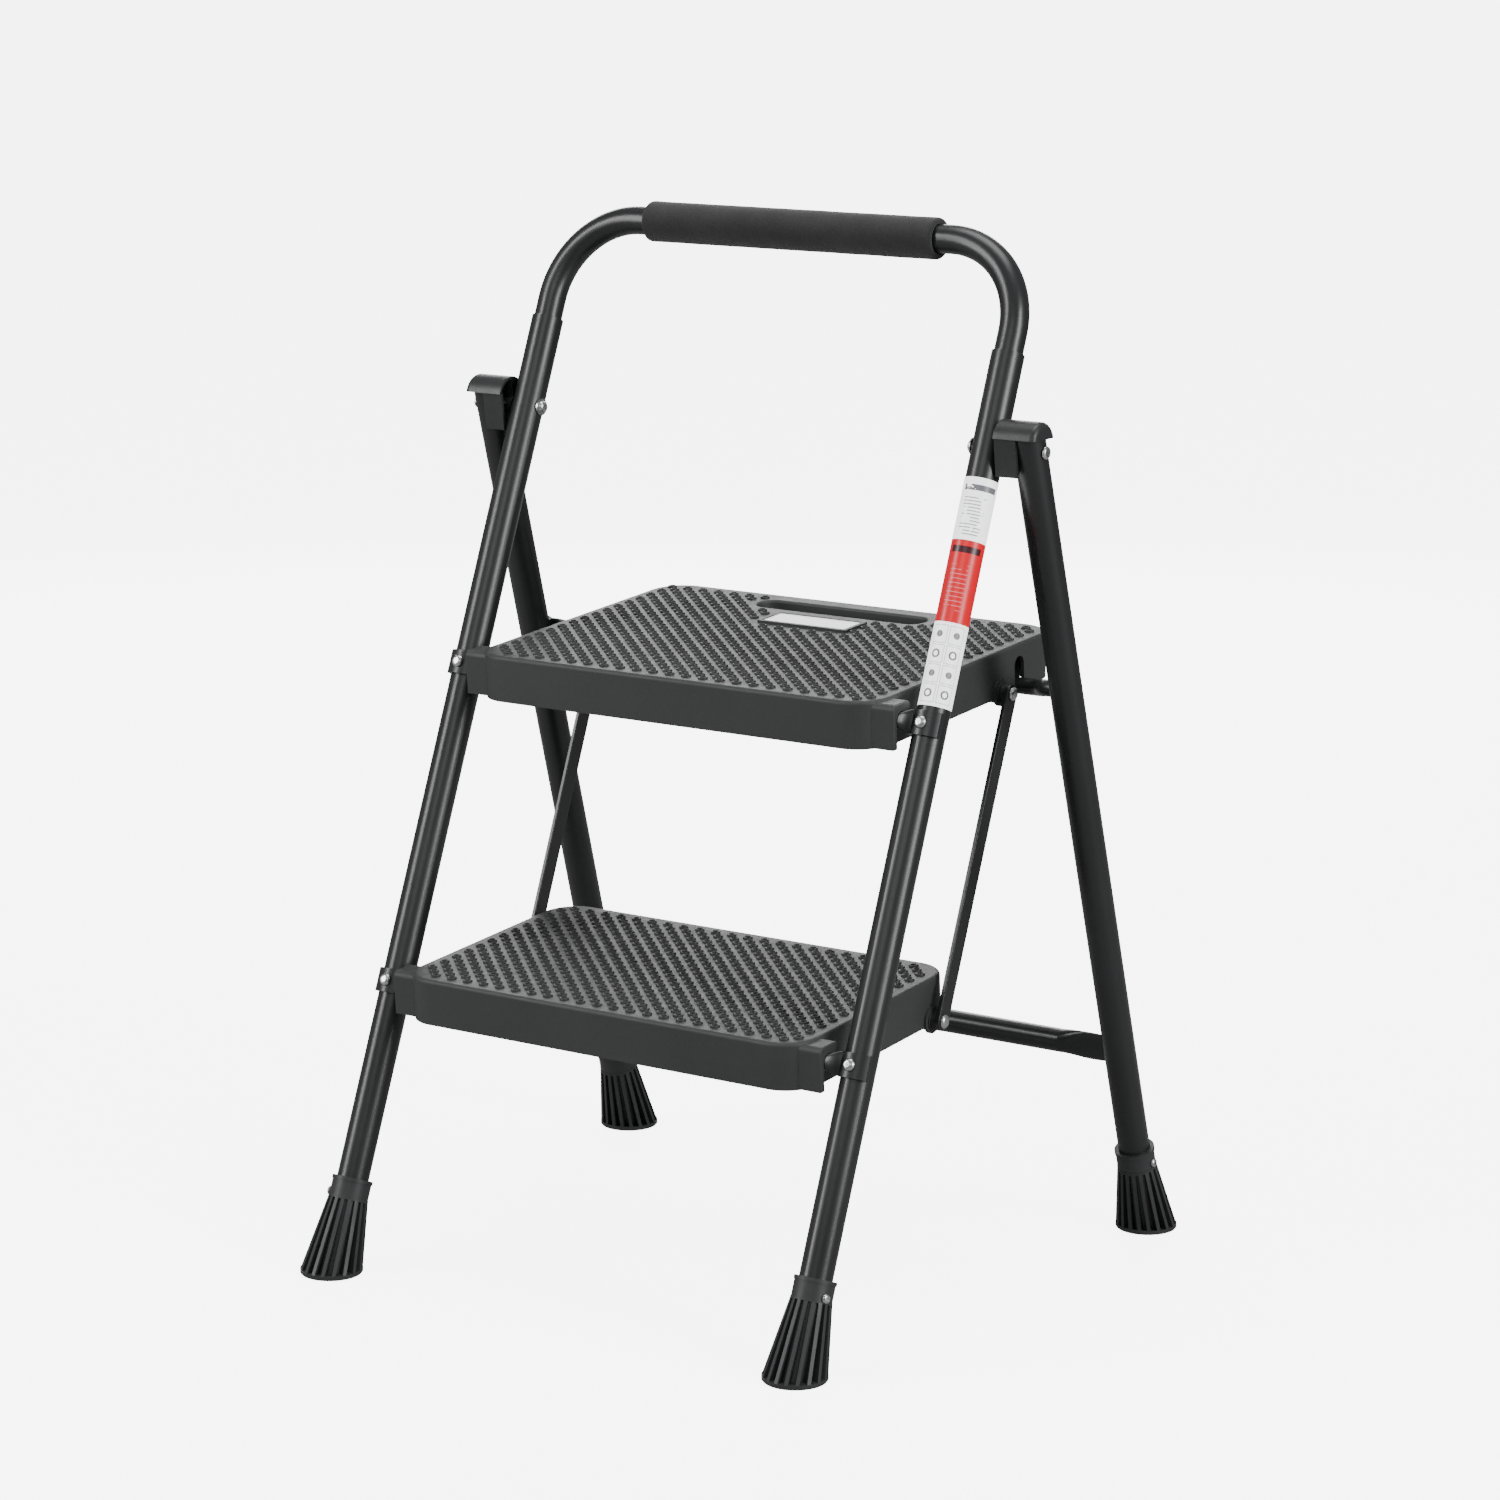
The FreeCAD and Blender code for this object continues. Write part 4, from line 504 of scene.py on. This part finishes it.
def grip():
    """Soft sleeve round the handle bar, slightly uneven outside."""
    profile = grip_profile()
    verts, faces = [], []
    for x, radius in profile:
        for j in range(GRIP_SEG):
            a = 2 * math.pi * j / GRIP_SEG
            c, s = math.cos(a), math.sin(a)
            r = radius
            if radius > GRIP_BORE + 2:
                swell = noise.noise(Vector((x * 0.045, c * 1.3, s * 1.3)))
                grain = noise.noise(Vector((x * 0.9, c * 14, s * 14)))
                r = radius + 0.16 * swell + 0.05 * grain
            verts.append((x * MM, BAR.y + r * MM * c, BAR.z + r * MM * s))
    last = (len(profile) - 1) * GRIP_SEG
    for i in range(len(profile) - 1):
        for j in range(GRIP_SEG):
            a = i * GRIP_SEG + j
            b = i * GRIP_SEG + (j + 1) % GRIP_SEG
            faces.append((a, a + GRIP_SEG, b + GRIP_SEG, b))
    for j in range(GRIP_SEG):    # close along the bore
        following = (j + 1) % GRIP_SEG
        faces.append((last + j, j, following, last + following))
    sleeve = mesh_object("foam_sleeve", verts, faces, FOAM, "front_frame")
    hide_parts("foam_grip")


grip()

# ---------------------------------------------------------------- floor, lights, camera

CAMERA_GLOW = 6.0      # floor and world strength as the camera sees them


def place_facing(obj, location, target):
    obj.location = location
    obj.rotation_mode = "QUATERNION"
    direction = Vector(target) - Vector(location)
    obj.rotation_quaternion = direction.to_track_quat("-Z", "Y")
    bpy.context.scene.collection.objects.link(obj)


def studio_world():
    """White behind the object, dim as a light."""
    world = bpy.data.worlds.new("studio")
    bpy.context.scene.world = world
    world.use_nodes = True
    tree = world.node_tree
    background = tree.nodes["Background"]
    background.inputs["Color"].default_value = (0.97, 0.98, 1.0, 1.0)
    path = tree.nodes.new("ShaderNodeLightPath")
    strength = tree.nodes.new("ShaderNodeMapRange")
    strength.inputs["To Min"].default_value = 0.26
    strength.inputs["To Max"].default_value = CAMERA_GLOW
    tree.links.new(path.outputs["Is Camera Ray"], strength.inputs["Value"])
    tree.links.new(strength.outputs["Result"], background.inputs["Strength"])


def pale_floor():
    """Glowing white to the camera, mid grey to every other ray."""
    m = Mat("pale_floor")
    cloud = m.noise(scale=3.0, detail=2.0)
    pale = m.ramp(cloud, low=(0.3, grey(0.90)), high=(0.7, grey(0.92)))
    camera_ray = m.add("ShaderNodeLightPath").outputs["Is Camera Ray"]
    m.set(
        Base_Color=m.mix(camera_ray, grey(0.30), pale),
        Roughness=0.8, Specular_IOR_Level=0.1, Emission_Color=grey(1.0),
        Emission_Strength=m.math("MULTIPLY", camera_ray, CAMERA_GLOW))
    return m.material


def floor():
    half, z = 60, -0.0004
    material = pale_floor()
    mesh = bpy.data.meshes.new("floor")
    corners = [(-half, -half, z), (half, -half, z), (half, half, z), (-half, half, z)]
    mesh.from_pydata(corners, [], [(0, 1, 2, 3)])
    obj = bpy.data.objects.new("floor", mesh)
    mesh.materials.append(material)
    bpy.context.scene.collection.objects.link(obj)


CENTRE = (0.0, 0.0, 0.42)
# name, location, target, (width, height) in metres, watts
LIGHTS = [
    ("key_left", (-2.0, -2.3, 1.7), CENTRE, (0.6, 2.2), 66.0),
    ("key_right", (3.0, -0.3, 1.5), CENTRE, (0.8, 2.2), 78.0),
    ("front_soft", (1.1, -3.2, 2.4), CENTRE, (1.6, 1.2), 16.0),
    ("top", (0.0, 0.3, 2.8), CENTRE, (1.6, 1.2), 30.0),
    ("back_sheen", (-1.85, 2.65, 1.5), (0.0, 0.05, 0.42), (2.6, 1.3), 62.0),
]


def area_light(name, location, target, size, energy):
    light = bpy.data.lights.new(name, "AREA")
    light.energy = energy
    light.shape = "RECTANGLE"
    light.size, light.size_y = size
    obj = bpy.data.objects.new(name, light)
    place_facing(obj, location, target)
    obj.visible_camera = False


def camera():
    data = bpy.data.cameras.new("camera")
    data.sensor_width = 36.0
    data.lens = 105.08
    data.clip_start = 0.1
    data.clip_end = 50.0
    obj = bpy.data.objects.new("camera", data)
    place_facing(obj, location=Vector((1852.4, -2715.1, 1093.8)) * MM,
                 target=Vector((-0.3, 35.75, 390.6)) * MM)
    bpy.context.scene.camera = obj


studio_world()
floor()
for entry in LIGHTS:
    area_light(*entry)
camera()
